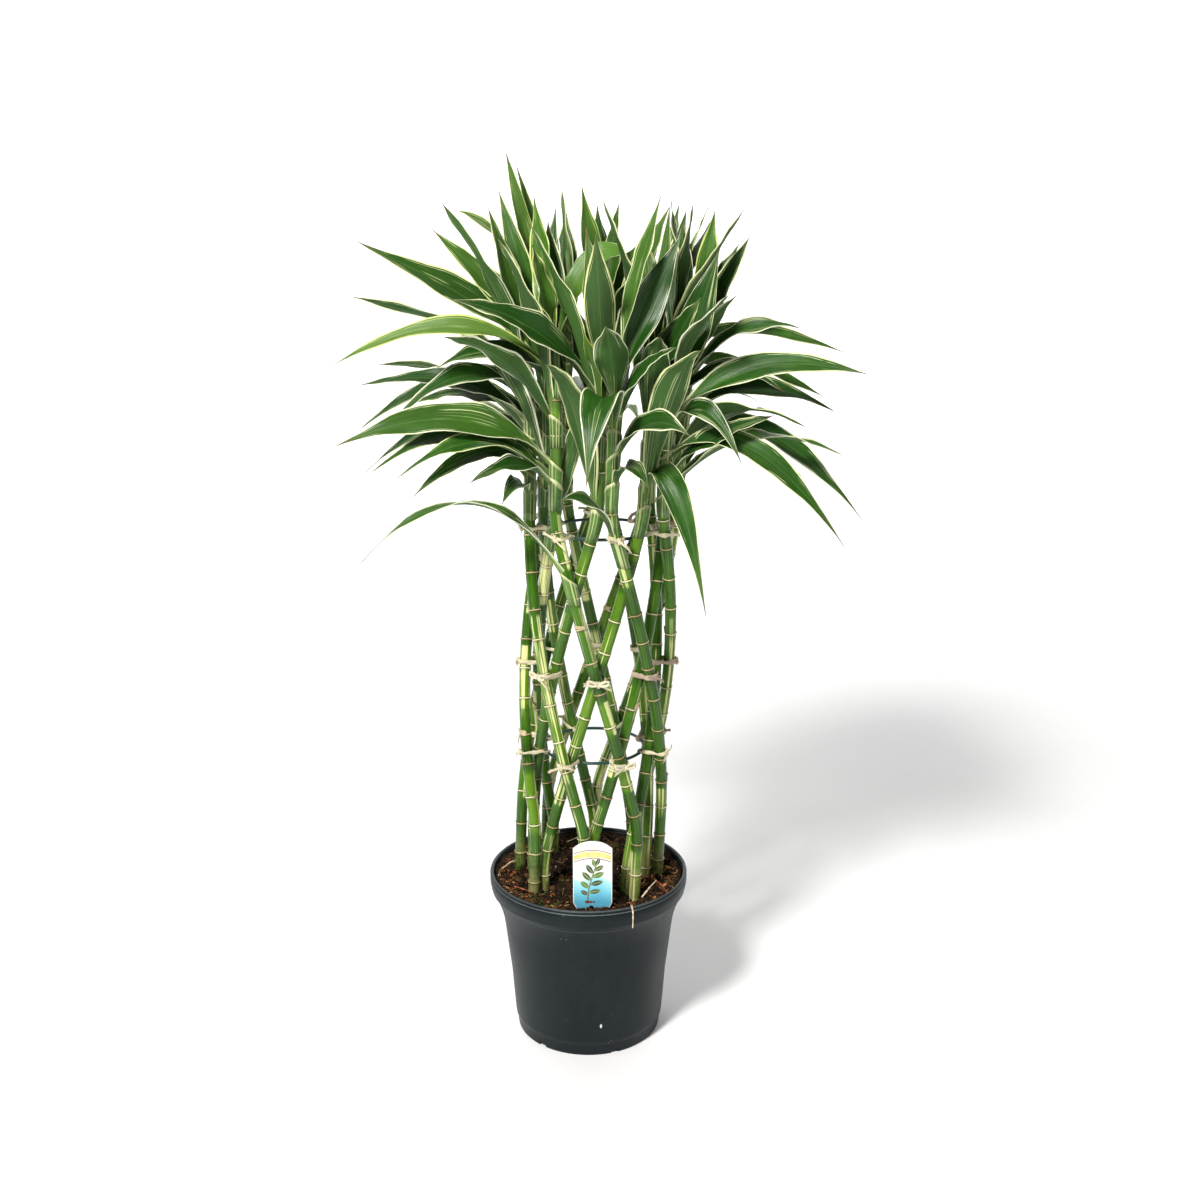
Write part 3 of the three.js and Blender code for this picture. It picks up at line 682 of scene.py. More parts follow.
def makeSheathFinish():
    # clasping leaf bases: pale green with cream edges, paper where they have dried
    material, tree = newMaterial("leafSheath", 0.5)
    space = attribute(tree, "caneSpace", "Vector")
    dryness = attribute(tree, "dryness")
    uneven = toneOf(tree, objectSpace(tree), 50.0, 260.0)
    fibres = linesOf(tree, space, (6.0, 6.0, 0.3))
    lines = between(tree, linesOf(tree, space, (3.4, 3.4, 0.12), 1.3), 0.62, 0.85)
    stops = [(0.3, (0.020, 0.075, 0.008)), (0.5, (0.050, 0.135, 0.015)), (0.7, (0.11, 0.22, 0.035))]
    lip = (attribute(tree, "lipMask"), 0.9, (0.66, 0.66, 0.36))
    fresh = layered(tree, ramp(tree, uneven, stops), (lines, 0.75, (0.55, 0.58, 0.27)), lip)
    stops = [(0.3, (0.36, 0.24, 0.11)), (0.5, (0.60, 0.50, 0.28)), (0.7, (0.74, 0.68, 0.45))]
    paper = layered(tree, ramp(tree, uneven, stops), (fibres, 0.4, (0.30, 0.20, 0.11)))
    colour = layered(tree, fresh, (dryness, 1.0, paper))
    return surfaced(material, colour, scaled(tree, dryness, 0.35, 0.4), fibres, 0.5, 0.0004)


bladeFinish = makeBladeFinish()
caneFinish = makeCaneFinish()
sheathFinish = makeSheathFinish()
print("plant finishes ready")


# Leaves that differ from the rest, by stem and height: pale, with a dry tip or striped.
leafMoods = {
    (8, 572): {"paleShare": 0.45, "marginTone": 0.8, "stripeShare": 0.6},
    (8, 500): {"paleShare": 0.12, "dryTip": 0.93, "stripeShare": 0.9},
    (9, 545): {"paleShare": 0.65, "marginTone": 1.0},
    (1, 525): {"leafTone": 0.55, "dryTip": 0.955, "stripeShare": 0.9, "marginWidth": 0.15},
    (2, 535): {"leafTone": 0.75, "dryTip": 0.965},
    (8, 412): {"paleShare": 0.08, "leafTone": 0.5, "marginWidth": 0.1},
    (16, 560): {"leafTone": 0.35, "stripeShare": 0.9},
    (10, 555): {"leafTone": 0.2, "marginTone": 0.5},
    (7, 545): {"leafTone": 0.45},
}

bladeStyle = {
    "rows": 24,
    "across": [-1.0, -0.9, -0.64, -0.32, 0.0, 0.32, 0.64, 0.9, 1.0],
    "edgeThickness": 0.5,
    "ribThickness": 1.2,
    "creaseDepth": 0.35,
    "rootDepth": 0.45 * 4.8,
    "claspHalfWidth": 5.2,
    "claspShare": 0.14,
    "widest": 0.4,
    "ripple": 0.6,
    "usualWidth": 24,
    "lengthSteps": 20,
    "finishScale": 40,
    "finishStep": 3.7,
    "youngWithin": 22,
}


def midrib(stem, leaf):
    middle = canePoint(stem, leaf["from"])
    outward = leaf["tip"] - middle
    outward[2] = 0
    base = middle + unit(outward) * bladeStyle["rootDepth"]
    chord = leaf["tip"] - base
    lift = np.linalg.norm(chord) * 0.12
    first = base + 0.3 * chord + np.array([0, 0, leaf["arch"] * 1.33 + lift])
    second = base + 0.68 * chord + np.array([0, 0, leaf["arch"] * 1.33])
    return [base, first, second, leaf["tip"]]


def ribPoint(curve, t):
    a, b, c, d = curve
    s = 1 - t
    return s ** 3 * a + 3 * s * s * t * b + 3 * s * t * t * c + t ** 3 * d


def ribDirection(curve, t):
    a, b, c, d = curve
    s = 1 - t
    return unit(3 * s * s * (b - a) + 6 * s * t * (c - b) + 3 * t * t * (d - c))


def leafWidthShare(t):
    widest = bladeStyle["widest"]
    if t < widest:
        return 0.18 + 0.82 * math.sin(math.pi / 2 * t / widest) ** 1.4
    return max(0.0, math.cos(math.pi / 2 * (t - widest) / (1 - widest))) ** 1.35


def bladeRows(leaf, curve, right, shifts, ripple, ripples):
    # one row after another from the cane to the tip: upper points, lower points, half width
    across = np.array(bladeStyle["across"])
    hands = np.sign(across)
    for i in range(bladeStyle["rows"] + 1):
        t = (i / bladeStyle["rows"]) ** 1.05
        middle = ribPoint(curve, t)
        up = unit(np.cross(right, ribDirection(curve, t)))
        roll = math.radians(leaf["roll"]) * math.sin(math.pi / 2 * min(1.0, t / 0.45))
        side = right * math.cos(roll) + up * math.sin(roll)
        face = up * math.cos(roll) - right * math.sin(roll)
        clasp = max(0.0, 1 - t / bladeStyle["claspShare"])
        half = max(leaf["width"] / 2 * leafWidthShare(t), bladeStyle["claspHalfWidth"] * clasp, 0.2)
        fold = math.radians(10 + 34 * (1 - t) ** 2 + 22 * clasp)
        swell = math.sin(math.pi * t)
        cup = np.abs(across) ** (1.25 + 0.9 * clasp)
        phase = leaf["waves"] * t + leaf["phase"] + 0.21 * hands
        wave = leaf["wave"] * swell * np.sin(2 * math.pi * phase)
        shift = np.where(hands > 0, shifts[0], shifts[1])
        small = ripple * swell ** 0.6 * np.sin(2 * math.pi * (ripples * t + shift))
        rise = half * math.sin(fold) * cup + wave * np.abs(across) ** 1.6 + small * np.abs(across) ** 3
        line = middle + np.outer(across * half * math.cos(fold), side) + np.outer(rise, face)
        thick = bladeStyle["edgeThickness"] * min(1.0, 0.4 + 4 * (1 - t))
        rib = (bladeStyle["ribThickness"] - bladeStyle["edgeThickness"]) * (1 - t)
        fromRib = (across * half) ** 2
        depth = thick / 2 + rib * np.exp(-fromRib / 1.6)
        crease = bladeStyle["creaseDepth"] * (1 - 0.6 * t) * np.exp(-fromRib / 1.2)
        yield t, half, line + np.outer(thick / 2 - crease, face), line - np.outer(depth, face)


def bladeFaces(rows, count):
    # upper and lower side, both long edges and both ends
    size = (rows + 1) * count
    faces = gridFaces(rows + 1, count) + gridFaces(rows + 1, count, first=size, flip=True)
    for i in range(rows):
        a, b = i * count, (i + 1) * count
        faces.append([a, b, b + size, a + size])
        a, b = a + count - 1, b + count - 1
        faces.append([b, a, a + size, b + size])
    for j in range(count - 1):
        faces.append([j + 1, j, j + size, j + 1 + size])
        last = rows * count + j
        faces.append([last, last + 1, last + 1 + size, last + size])
    return faces


def bladeMesh(stem, leaf, order, draw):
    curve = midrib(stem, leaf)
    steps = bladeStyle["lengthSteps"]
    stops = [ribPoint(curve, i / steps) for i in range(steps + 1)]
    length = sum(np.linalg.norm(b - a) for a, b in zip(stops, stops[1:]))
    broad = leaf["width"] / bladeStyle["usualWidth"]
    ripples = 4 + 3 * draw()
    shifts = (draw(), draw())
    ripple = bladeStyle["ripple"] * (0.5 + draw()) * broad
    heading = curve[3] - curve[0]
    heading[2] = 0
    heading = unit(heading)
    right = np.array([heading[1], -heading[0], 0.0])
    across = np.array(bladeStyle["across"])
    count = len(across)
    top, low, gaps, ribs, spaces, alongs = [], [], [], [], [], []
    for t, half, upper, under in bladeRows(leaf, curve, right, shifts, ripple, ripples):
        top.append(upper)
        low.append(under)
        # toward the tip the margin narrows with the blade
        gaps.append(half * (1 - np.abs(across)) * max(1.0, 5.0 / half))
        ribs.append(np.abs(across) * half)
        # the finish has its own space on each blade: across, along and one step for every leaf
        far, own = t * length / bladeStyle["finishScale"], order * bladeStyle["finishStep"]
        spaces.append(np.stack([across, np.full(count, far), np.full(count, own)], 1))
        alongs.append(np.full(count, t))
    size = len(top) * count
    values = {
        "edgeGap": np.concatenate(gaps + gaps),
        "ribGap": np.concatenate(ribs + ribs),
        "alongBlade": np.concatenate(alongs + alongs),
        "bladeSpace": np.concatenate(spaces + spaces),
        "underside": np.concatenate([np.zeros(size), np.ones(size)]),
    }
    young = leaf["from"] > stem["top"] - bladeStyle["youngWithin"]
    constants = {
        "leafTone": 0.9 * draw() + (0.2 if young else 0.0),
        "marginWidth": (-0.45 + 1.0 * draw()) * broad,
        "marginTone": (0.35 if young else 0.0) + 0.5 * draw() ** 2,
        "stripeShare": 0.75 if draw() < 0.4 else 0.1,
        "paleShare": 0.3 * draw() if young else 0.0,
        "dryTip": leaf["dry"],
    }
    constants.update(leafMoods.get((stem["number"], leaf["from"]), {}))
    for label, value in constants.items():
        values[label] = np.full(2 * size, value)
    return np.concatenate(top + low), bladeFaces(bladeStyle["rows"], count), values


caneStyle = {
    "radius": 4.75,
    "foot": 112.0,
    "spacing": 26.0,
    "spacingSpread": 7.0,
    "firstNode": 6,
    "firstSpread": 22,
    "lastNode": 30,
    "step": 7,
    "waist": 0.12,
    "ringReach": 3,
    "sides": 16,
    "taper": 70,
    "tipShare": 0.55,
    "toneSpan": 450,
    "freshWithin": 150,
    "freshOver": 60,
    # a node ring as (height past the node, radius past the cane, ring, scar)
    "ring": [
        (-2.6, 0.0, 0, 0),
        (-1.0, 0.1, 0, 0.4),
        (-0.4, 0.22, 0, 1),
        (-0.1, 0.5, 0.9, 0),
        (0.4, 0.5, 0.9, 0),
        (0.65, 0.0, 0, 0.7),
        (2.2, -0.15, 0, 0),
    ],
}


def sweptPathTree(name, flat=False):
    # a tube along a path, or a flat strip that lies level and turns with its own tilt
    sockets = [("Geometry", "Geometry"), ("Sides", "Int", 12), ("Finish", "Material")]
    if flat:
        sockets.append(("Section", "Vector", (1.0, 1.0, 1.0)))
    tree, given, wanted = newGroup(name, "GeometryNodeTree", sockets, [("Geometry", "Geometry")])
    inputs = {"Resolution": given["Sides"], "Radius": 1.0}
    profile = put(tree, "GeometryNodeCurvePrimitiveCircle", inputs).outputs["Curve"]
    angle = times(tree, put(tree, "GeometryNodeSplineParameter").outputs["Factor"], fullTurn)
    for label, operation in (("aroundX", "COSINE"), ("aroundY", "SINE")):
        profile = stored(tree, profile, label, worked(tree, operation, angle))
    curve = put(tree, "GeometryNodeMeshToCurve", {"Mesh": given["Geometry"]}).outputs["Curve"]
    if flat:
        level = put(tree, "GeometryNodeSetCurveNormal", {"Curve": curve}, mode="Z_UP").outputs["Curve"]
        inputs = {"Curve": level, "Tilt": namedValue(tree, "pathTilt")}
        curve = put(tree, "GeometryNodeSetCurveTilt", inputs).outputs["Curve"]
        inputs = {"Geometry": profile, "Scale": given["Section"]}
        profile = put(tree, "GeometryNodeTransform", inputs).outputs["Geometry"]
    radius = namedValue(tree, "pathRadius")
    inputs = {"Curve": curve, "Profile Curve": profile, "Scale": radius, "Fill Caps": True}
    swept = put(tree, "GeometryNodeCurveToMesh", inputs).outputs["Mesh"]
    smooth = put(tree, "GeometryNodeSetShadeSmooth", {"Geometry": swept}).outputs["Geometry"]
    endTree(tree, smooth, given, wanted)
    return tree


sweptPath = sweptPathTree("sweptPath")


def pathPiece(name, points, values, tree, inputs, looped):
    # a piece that a tree sweeps along a path, from points in millimetres
    count = len(points)
    edges = [(i, (i + 1) % count) for i in range(count if looped else count - 1)]
    return grown(newPiece(name, points, edges, [], values), tree, inputs)


def tubePiece(name, points, radii, material, sides, attributes=None, looped=False):
    values = {"pathRadius": np.asarray(radii) * millimetre, **(attributes or {})}
    return pathPiece(name, points, values, sweptPath, {"Sides": sides, "Finish": material}, looped)


def addCaneSpace(piece, scale):
    # a seamless space round a swept piece: round it in x and y, along it in z
    mesh = piece.data
    parts = []
    for label in ("aroundX", "aroundY", "alongPath"):
        numbers = np.empty(len(mesh.vertices), np.float32)
        mesh.attributes[label].data.foreach_get("value", numbers)
        parts.append(numbers)
    parts[2] *= scale
    layer = mesh.attributes.new("caneSpace", "FLOAT_VECTOR", "POINT")
    layer.data.foreach_set("vector", np.stack(parts, 1).ravel())


def nodeHeights(stem, draw):
    heights = []
    height = lattice["soilLevel"] + caneStyle["firstNode"] + caneStyle["firstSpread"] * draw()
    while height < stem["top"] - caneStyle["lastNode"]:
        heights.append(height)
        height += caneStyle["spacing"] + caneStyle["spacingSpread"] * (draw() - 0.5)
    return heights


def narrowed(stem, height):
    # what is left of the cane's radius where it tapers under its last leaves
    past = (height - (stem["top"] - caneStyle["taper"])) / caneStyle["taper"]
    return 1 - np.clip(past, 0, 1) * (1 - caneStyle["tipShare"])


def makeCane(stem, nodes, draw):
    base = caneStyle["radius"]
    reach = caneStyle["ringReach"]
    # rows of height, radius, ring, scar and the tone of the internode
    rows = [(caneStyle["foot"], base, 0, 0, 0.5), (stem["top"], base, 0, 0, 0.5)]
    bounds = [caneStyle["foot"], *nodes, stem["top"]]
    for i, (height, following) in enumerate(zip(bounds, bounds[1:])):
        tone = draw()
        if i > 0:
            for rise, out, ring, scar in caneStyle["ring"]:
                rows.append((height + rise, base + out, ring, scar, tone))
        steps = max(2, int((following - height) / caneStyle["step"]))
        for k in range(1, steps):
            share = k / steps
            waist = caneStyle["waist"] * math.sin(math.pi * share)
            at = height + reach + (following - height - 2 * reach) * share
            rows.append((at, base - waist, 0, 0, tone))
    rows.sort(key=lambda row: row[0])
    heights, radii, rings, scars, tones = np.array(rows).T
    freshFrom = stem["top"] - caneStyle["freshWithin"]
    attributes = {
        "ringMask": rings,
        "scarMask": scars,
        "internodeTone": tones,
        "heightShare": (heights - lattice["soilLevel"]) / caneStyle["toneSpan"],
        "sheathMask": np.clip((heights - freshFrom) / caneStyle["freshOver"], 0, 1),
        "alongPath": heights + 1000.0 * stem["number"],
    }
    points = [canePoint(stem, height) for height in heights]
    radii = radii * narrowed(stem, heights)
    name = "cane_%02d" % stem["number"]
    cane = tubePiece(name, points, radii, caneFinish, caneStyle["sides"], attributes)
    addCaneSpace(cane, 0.12)
    return cane


sheathStyle = {
    "sides": 14,
    "levels": [0.0, 0.3, 0.6, 0.85, 1.0],
    "lipFrom": 0.85,
    "length": 17.0,
    "above": 3.5,
    "slant": 5.5,
    "thickness": 0.4,
    "gap": 0.1,
    "flare": 0.7,
    "curlOut": 1.6,
    "dryShare": 0.13,
}


def bandFaces(rows, columns, whole):
    # the sides of a thin band, its foot and, if it doesn't close, its two long edges
    faces = gridFaces(rows, columns, closed=whole)
    last = (rows - 1) * columns
    for j in range(columns if whole else columns - 1):
        k = (j + 1) % columns
        faces.append([k, j, last + j, last + k])
    if not whole:
        left = [i * columns for i in range(rows)]
        right = [i * columns + columns - 1 for i in range(rows)]
        for i in range(rows // 2 - 1):
            mirror = rows - 1 - i
            faces.append([left[i + 1], left[mirror - 1], left[mirror], left[i]])
            faces.append([right[i], right[mirror], right[mirror - 1], right[i + 1]])
    return faces


def bandAround(stem, low, high, heading, span, radii, slant, ragged, dryness, draw):
    # a thin band round a cane: outer side, lip and inner side, over part of a turn
    sides, levels = sheathStyle["sides"], sheathStyle["levels"]
    whole = span >= fullTurn
    columns = sides if whole else sides + 1
    points, lips, spaces = [], [], []
    uneven = [ragged * (draw() - 0.5) for _ in range(columns)]
    for inner, order in ((0, levels), (1, levels[::-1])):
        for level in order:
            for j in range(columns):
                turn = heading - span / 2 + span * j / sides
                away = math.cos(turn - heading)
                height = low + (high + slant * away + uneven[j] - low) * level
                radius = radii[0] + (radii[1] - radii[0]) * level ** 2.2 - inner * sheathStyle["thickness"]
                if not whole:
                    radius += sheathStyle["curlOut"] * level ** 2 * (1 - min(1.0, abs(away)))
                middle = canePoint(stem, height)
                points.append(middle + radius * np.array([math.cos(turn), math.sin(turn), 0]))
                lips.append(max(0.0, level - sheathStyle["lipFrom"]) / (1 - sheathStyle["lipFrom"]))
                spaces.append((math.cos(turn), math.sin(turn), middle[2] * 0.05 + stem["number"]))
    values = {"lipMask": lips, "dryness": [dryness] * len(points), "caneSpace": spaces}
    return points, bandFaces(2 * len(levels), columns, whole), values


def stemSheaths(stem, own, nodes, draw):
    bands = []
    skin = sheathStyle["gap"] + sheathStyle["thickness"]
    for leaf in sorted(own, key=lambda item: item["from"]):
        outward = leaf["tip"] - canePoint(stem, leaf["from"])
        heading = math.atan2(outward[1], outward[0])
        radius = caneStyle["radius"] * narrowed(stem, leaf["from"]) + skin
        radii = (radius + 0.05, radius + sheathStyle["flare"])
        low, high = leaf["from"] - sheathStyle["length"], leaf["from"] + sheathStyle["above"]
        slant = sheathStyle["slant"]
        bands.append(bandAround(stem, low, high, heading, fullTurn, radii, slant, 0.8, 0.0, draw))
    # a few dried remnants stay at the nodes lower down
    lowest = min(leaf["from"] for leaf in own) - 20
    for height in nodes:
        if height > lowest or draw() > sheathStyle["dryShare"]:
            continue
        heading = fullTurn * draw()
        span = math.radians(60 + 80 * draw())
        radius = caneStyle["radius"] + skin + 0.2
        radii = (radius, radius + 0.35)
        rise = 1.6 + 3.4 * draw()
        low, high = height + 0.4, height + rise
        bands.append(bandAround(stem, low, high, heading, span, radii, 1.5, 1.3, 1.0, draw))
    return bands


def gathered(name, parts, material):
    # one mesh from parts that each have points, faces and values by name
    points, faces, values = [], [], {}
    for some, more, given in parts:
        first = len(points)
        points.extend(some)
        faces.extend([first + corner for corner in face] for face in more)
        for label, numbers in given.items():
            values.setdefault(label, []).extend(numbers)
    return meshObject(name, points, faces, material, values)


def makeLeafyStem(stem, order, draw):
    number = "%02d" % stem["number"]
    nodes = nodeHeights(stem, draw)
    cane = makeCane(stem, nodes, draw)
    own = [leaf for owner, leaf in leaves if owner is stem]
    blades = []
    for i, leaf in enumerate(own):
        # past 1 no part of the blade is dry
        leaf["dry"] = 0.9 + 0.09 * draw() if draw() < 0.4 else 1.1
        blades.append(bladeMesh(stem, leaf, order * 10 + i, draw))
    blades = gathered("blades_" + number, blades, bladeFinish)
    sheaths = gathered("sheaths_" + number, stemSheaths(stem, own, nodes, draw), sheathFinish)
    whole = joined([cane, blades, sheaths], "leafy_cane_" + number)
    handOver(whole, "leaf_and_cane", "leafy_stem_" + number)


plantDraw = seededDraw(77)
for order, stem in enumerate(stems):
    makeLeafyStem(stem, order, plantDraw)
print("leafy stems grown")


pot = {
    "sides": 144,
    "outside": [
        (61.6, 0), (62.1, 0.5), (62.4, 2), (62.7, 9.4), (63.2, 10.3), (64.0, 10.9), (64.6, 15), (67.6, 54),
        (69.8, 72), (71.7, 88), (72.6, 96), (73.8, 104), (75.2, 110), (77, 115.6), (78.5, 119.6),
        (80.2, 123.4), (81.7, 126.4), (82.7, 128.2), (83.5, 129), (84.0, 131), (84.5, 134.4), (84.9, 135.8),
        (85, 138), (84.95, 141.1), (84.6, 141.6), (84.6, 142), (84.95, 142.4), (85, 143.5), (84.7, 144.5),
        (84.1, 145.1),
    ],
    "inside": [
        (83.2, 145.2), (82.4, 145), (81.8, 144.4), (81.5, 143.4), (81.2, 141), (80.8, 129), (78.1, 122.6),
        (75.4, 116), (72.2, 103.6), (66, 54), (61.6, 8), (60.4, 5.4), (58, 5),
    ],
    "underside": [(0, 0), (40, 0), (43, 3), (59.8, 3), (60.4, 0.3), (60.8, 0)],
    "floor": [(41, 5), (38, 2), (0, 2)],
    "slots": 6,
    "firstSlot": 0.35,
    "slotSize": (7.0, 6.4, 6.0),
    # the circle of the slots and what the finish reads are in metres
    "slotCircle": 0.0623,
    # painted highlight lines as (height, half width, share): the lip's edges, the step under the flare, the
    # foot; brightest at the front
    "paintedHighlightLines": [
        (0.1422, 0.0007, 0.9), (0.1450, 0.0006, 0.35), (0.1251, 0.0005, 0.22), (0.0106, 0.0005, 0.22),
    ],
    "splash": (0.0108, -0.0647, 0.0295),
}


def makePotFinish():
    # matte slate plastic with cloudy wear, fine grain, a few pale specks and painted highlight lines on its
    # edges
    material, tree = newMaterial("slatePlastic", 0.5, 0.17)
    space = objectSpace(tree)
    split = put(tree, "ShaderNodeSeparateXYZ", {0: space}).outputs
    tone = toneOf(tree, space, 22.0, 260.0, 0.35)
    stops = [
        (0.3, (0.0034, 0.0068, 0.0080)), (0.5, (0.0062, 0.0118, 0.0140)), (0.7, (0.0110, 0.0180, 0.0195)),
    ]
    layers = [(linesOf(tree, space, (34.0, 34.0, 3.0), 3.0), 0.16, (0.016, 0.022, 0.024))]
    # painted highlight lines along the edges, patchy with the cloudy tone and brightest on the front of the
    # pot
    highlightStrength = scaled(tree, between(tree, tone, 0.3, 0.55), 0.5, 0.5)
    front = scaled(tree, between(tree, split["Y"], -0.045, -0.084), 0.7, 0.3)
    for height, half, share in pot["paintedHighlightLines"]:
        line = between(tree, apart(tree, split["Z"], height), half, half * 0.3)
        line = times(tree, times(tree, line, highlightStrength), front)
        layers.append((line, share, (0.22, 0.25, 0.26)))
    specks = put(tree, "ShaderNodeTexVoronoi", {"Vector": space, "Scale": 170.0}).outputs["Distance"]
    rare = between(tree, cloudy(tree, space, 45.0), 0.56, 0.66)
    layers.append((times(tree, between(tree, specks, 0.13, 0.06), rare), 0.5, (0.20, 0.21, 0.20)))
    gap = distanceFrom(tree, space, pot["splash"], (1.0, 1.0, 0.45))
    layers.append((between(tree, gap, 0.0011, 0.0007), 1.0, (0.75, 0.76, 0.74)))
    colour = layered(tree, ramp(tree, tone, stops), *layers)
    rough = scaled(tree, tone, 0.35, 0.26)
    height = plus(tree, cloudy(tree, space, 1400.0), times(tree, tone, 2.0))
    return surfaced(material, colour, rough, height, 0.25, 0.0003)


def lathe(name, profile, sides, material):
    # a turned piece from (radius, height) pairs that start and end on the axis
    inner = profile[1:-1]
    points = [(0, 0, profile[0][1])]
    for radius, height in inner:
        for j in range(sides):
            turn = fullTurn * j / sides
            points.append((radius * math.cos(turn), radius * math.sin(turn), height))
    points.append((0, 0, profile[-1][1]))
    faces = gridFaces(len(inner), sides, first=1, closed=True)
    last = len(points) - 1
    for j in range(sides):
        k = (j + 1) % sides
        faces.append([0, 1 + k, 1 + j])
        faces.append([last, last - sides + j, last - sides + k])
    return meshObject(name, points, faces, material)


def slotCutters():
    cutters = []
    for i in range(pot["slots"]):
        bpy.ops.mesh.primitive_cube_add(size=millimetre)
        cutter = bpy.context.object
        turn = (i + pot["firstSlot"]) * fullTurn / pot["slots"]
        cutter.scale = pot["slotSize"]
        cutter.location = roundPoint(pot["slotCircle"], turn, 0.0)
        cutter.rotation_euler = (0, 0, turn)
        cutters.append(cutter)
    return cutters


def makePot():
    profile = pot["underside"] + pot["outside"] + pot["inside"] + pot["floor"]
    body = lathe("nurseryPot", profile, pot["sides"], makePotFinish())
    cutter = joined(slotCutters(), "slotCutter")
    modifier = body.modifiers.new("slots", "BOOLEAN")
    modifier.operation = "DIFFERENCE"
    modifier.solver = "EXACT"
    modifier.object = cutter
    settled(body)
    bpy.data.objects.remove(cutter)
    handOver(body, "pot_plastic", "pot")


makePot()
print("pot turned")


# Peat: a relief of lumps, with crumbs, bark, moss, grains and fibres lying on it.
soil = {
    "radius": 80.5,
    "rings": 46,
    "sides": 132,
    "skirt": 118.0,
    "skirtShare": 0.93,
    "level": 140.0,
    "bitsWithin": 79.0,
    "bitMargin": 450,
    "bitsAbove": 130,
    # patches of moss as (across, back, size)
    "moss": [(-44, -53, 17), (-28, -60, 9), (-66, 12, 9), (22, 52, 11), (-20, -20, 7)],
}
# Earthy finishes: dark, middle and light tone, roughness and the scale of the fine noise.
earthTones = {
    "darkPeat": ((0.005, 0.003, 0.002), (0.022, 0.012, 0.005), (0.105, 0.050, 0.017), 0.95, 500.0),
    "barkChips": ((0.036, 0.011, 0.004), (0.150, 0.050, 0.015), (0.50, 0.23, 0.085), 0.85, 700.0),
    "coirFibres": ((0.10, 0.04, 0.018), (0.28, 0.13, 0.055), (0.62, 0.45, 0.26), 0.8, 300.0),
    "mossTufts": ((0.020, 0.040, 0.006), (0.06, 0.11, 0.015), (0.17, 0.26, 0.05), 0.9, 600.0),
    "paleGrains": ((0.45, 0.40, 0.33), (0.68, 0.64, 0.56), (0.85, 0.82, 0.76), 0.8, 400.0),
    "paleRoot": ((0.50, 0.30, 0.17), (0.78, 0.62, 0.45), (0.90, 0.82, 0.68), 0.6, 300.0),
    "redTwig": ((0.14, 0.03, 0.015), (0.33, 0.09, 0.04), (0.55, 0.27, 0.14), 0.6, 300.0),
}


def soilHeight(x, y):
    broad = 1.7 * math.sin(0.09 * x + 1.3) * math.cos(0.11 * y - 0.4)
    short = 0.9 * math.sin(0.31 * x - 0.23 * y) + 0.6 * math.cos(0.27 * y + 0.36 * x)
    lumps = 2.6 * noise.noise(Vector((x, y, 3.0)) * 0.15) + 1.8 * noise.noise(Vector((x, y, 9.0)) * 0.42)
    edge = clamped((math.hypot(x, y) - 66) / 14)
    return soil["level"] + (0.6 * broad + short * 0.7) * (1 - edge) + lumps + 1.6 * edge


def patchy(x, y, seed, scale, low):
    # share between 0 and 1 that comes and goes in patches
    return clamped((noise.noise(Vector((x, y, 40.0 * seed)) * scale) - low) * 4)


def sided(x, y, seed):
    # bark and fibre lie mostly left and right of the lattice
    side = clamped((abs(x) - 38) / 22)
    return min(1.0, patchy(x, y, seed, 0.07, 0.05) * 0.45 + side * (0.35 + patchy(x, y, seed, 0.12, -0.12)))


def mossShare(x, y):
    nearest = max(1 - math.hypot(x - across, y - back) / size for across, back, size in soil["moss"])
    return clamped(nearest * 1.5) * (0.25 + patchy(x, y, 9.0, 0.2, -0.2))


def makeEarthFinish(name, dark, middle, light, roughness, fine):
    # a ramp of tones over each bit's own tone and cloudy noise
    material, tree = newMaterial(name, roughness, 0.15)
    tone = toneOf(tree, objectSpace(tree), 90.0, fine, 0.55)
    mixed = plus(tree, times(tree, attribute(tree, "bitTone"), 0.62), times(tree, tone, 0.38))
    colour = ramp(tree, mixed, [(0.2, dark), (0.5, middle), (0.8, light)])
    return surfaced(material, colour, None, tone, 0.7, 0.0008)


# What lies on the peat: finish, how many in a square metre, sizes in metres, shape, lean and
# a rule for where it lies.
soilBits = {
    "crumbs": ("darkPeat", 230000.0, (0.0005, 0.0014), (1.0, 0.8, 0.7), 3.14, lambda x, y: 1.0),
    "clods": (
        "darkPeat", 26000.0, (0.0016, 0.0046), (1.0, 0.8, 0.7), 3.14,
        lambda x, y: 0.15 + patchy(x, y, 2.0, 0.10, 0.0),
    ),
    "barkBits": (
        "barkChips", 90000.0, (0.0005, 0.0019), (1.0, 0.42, 0.26), 0.9, lambda x, y: sided(x, y, 5.0),
    ),
    "barkChips": (
        "barkChips", 24000.0, (0.0018, 0.0052), (1.0, 0.36, 0.16), 0.7, lambda x, y: sided(x, y, 6.0),
    ),
    "fibres": (
        "coirFibres", 24000.0, (0.0022, 0.0062), (1.0, 0.045, 0.045), 0.5,
        lambda x, y: 0.25 + sided(x, y, 7.0),
    ),
    "moss": ("mossTufts", 330000.0, (0.0006, 0.0017), (0.28, 0.28, 1.0), 0.8, mossShare),
    "grains": ("paleGrains", 3600.0, (0.0004, 0.0010), (1.0, 0.9, 0.8), 3.14, lambda x, y: 1.0),
}


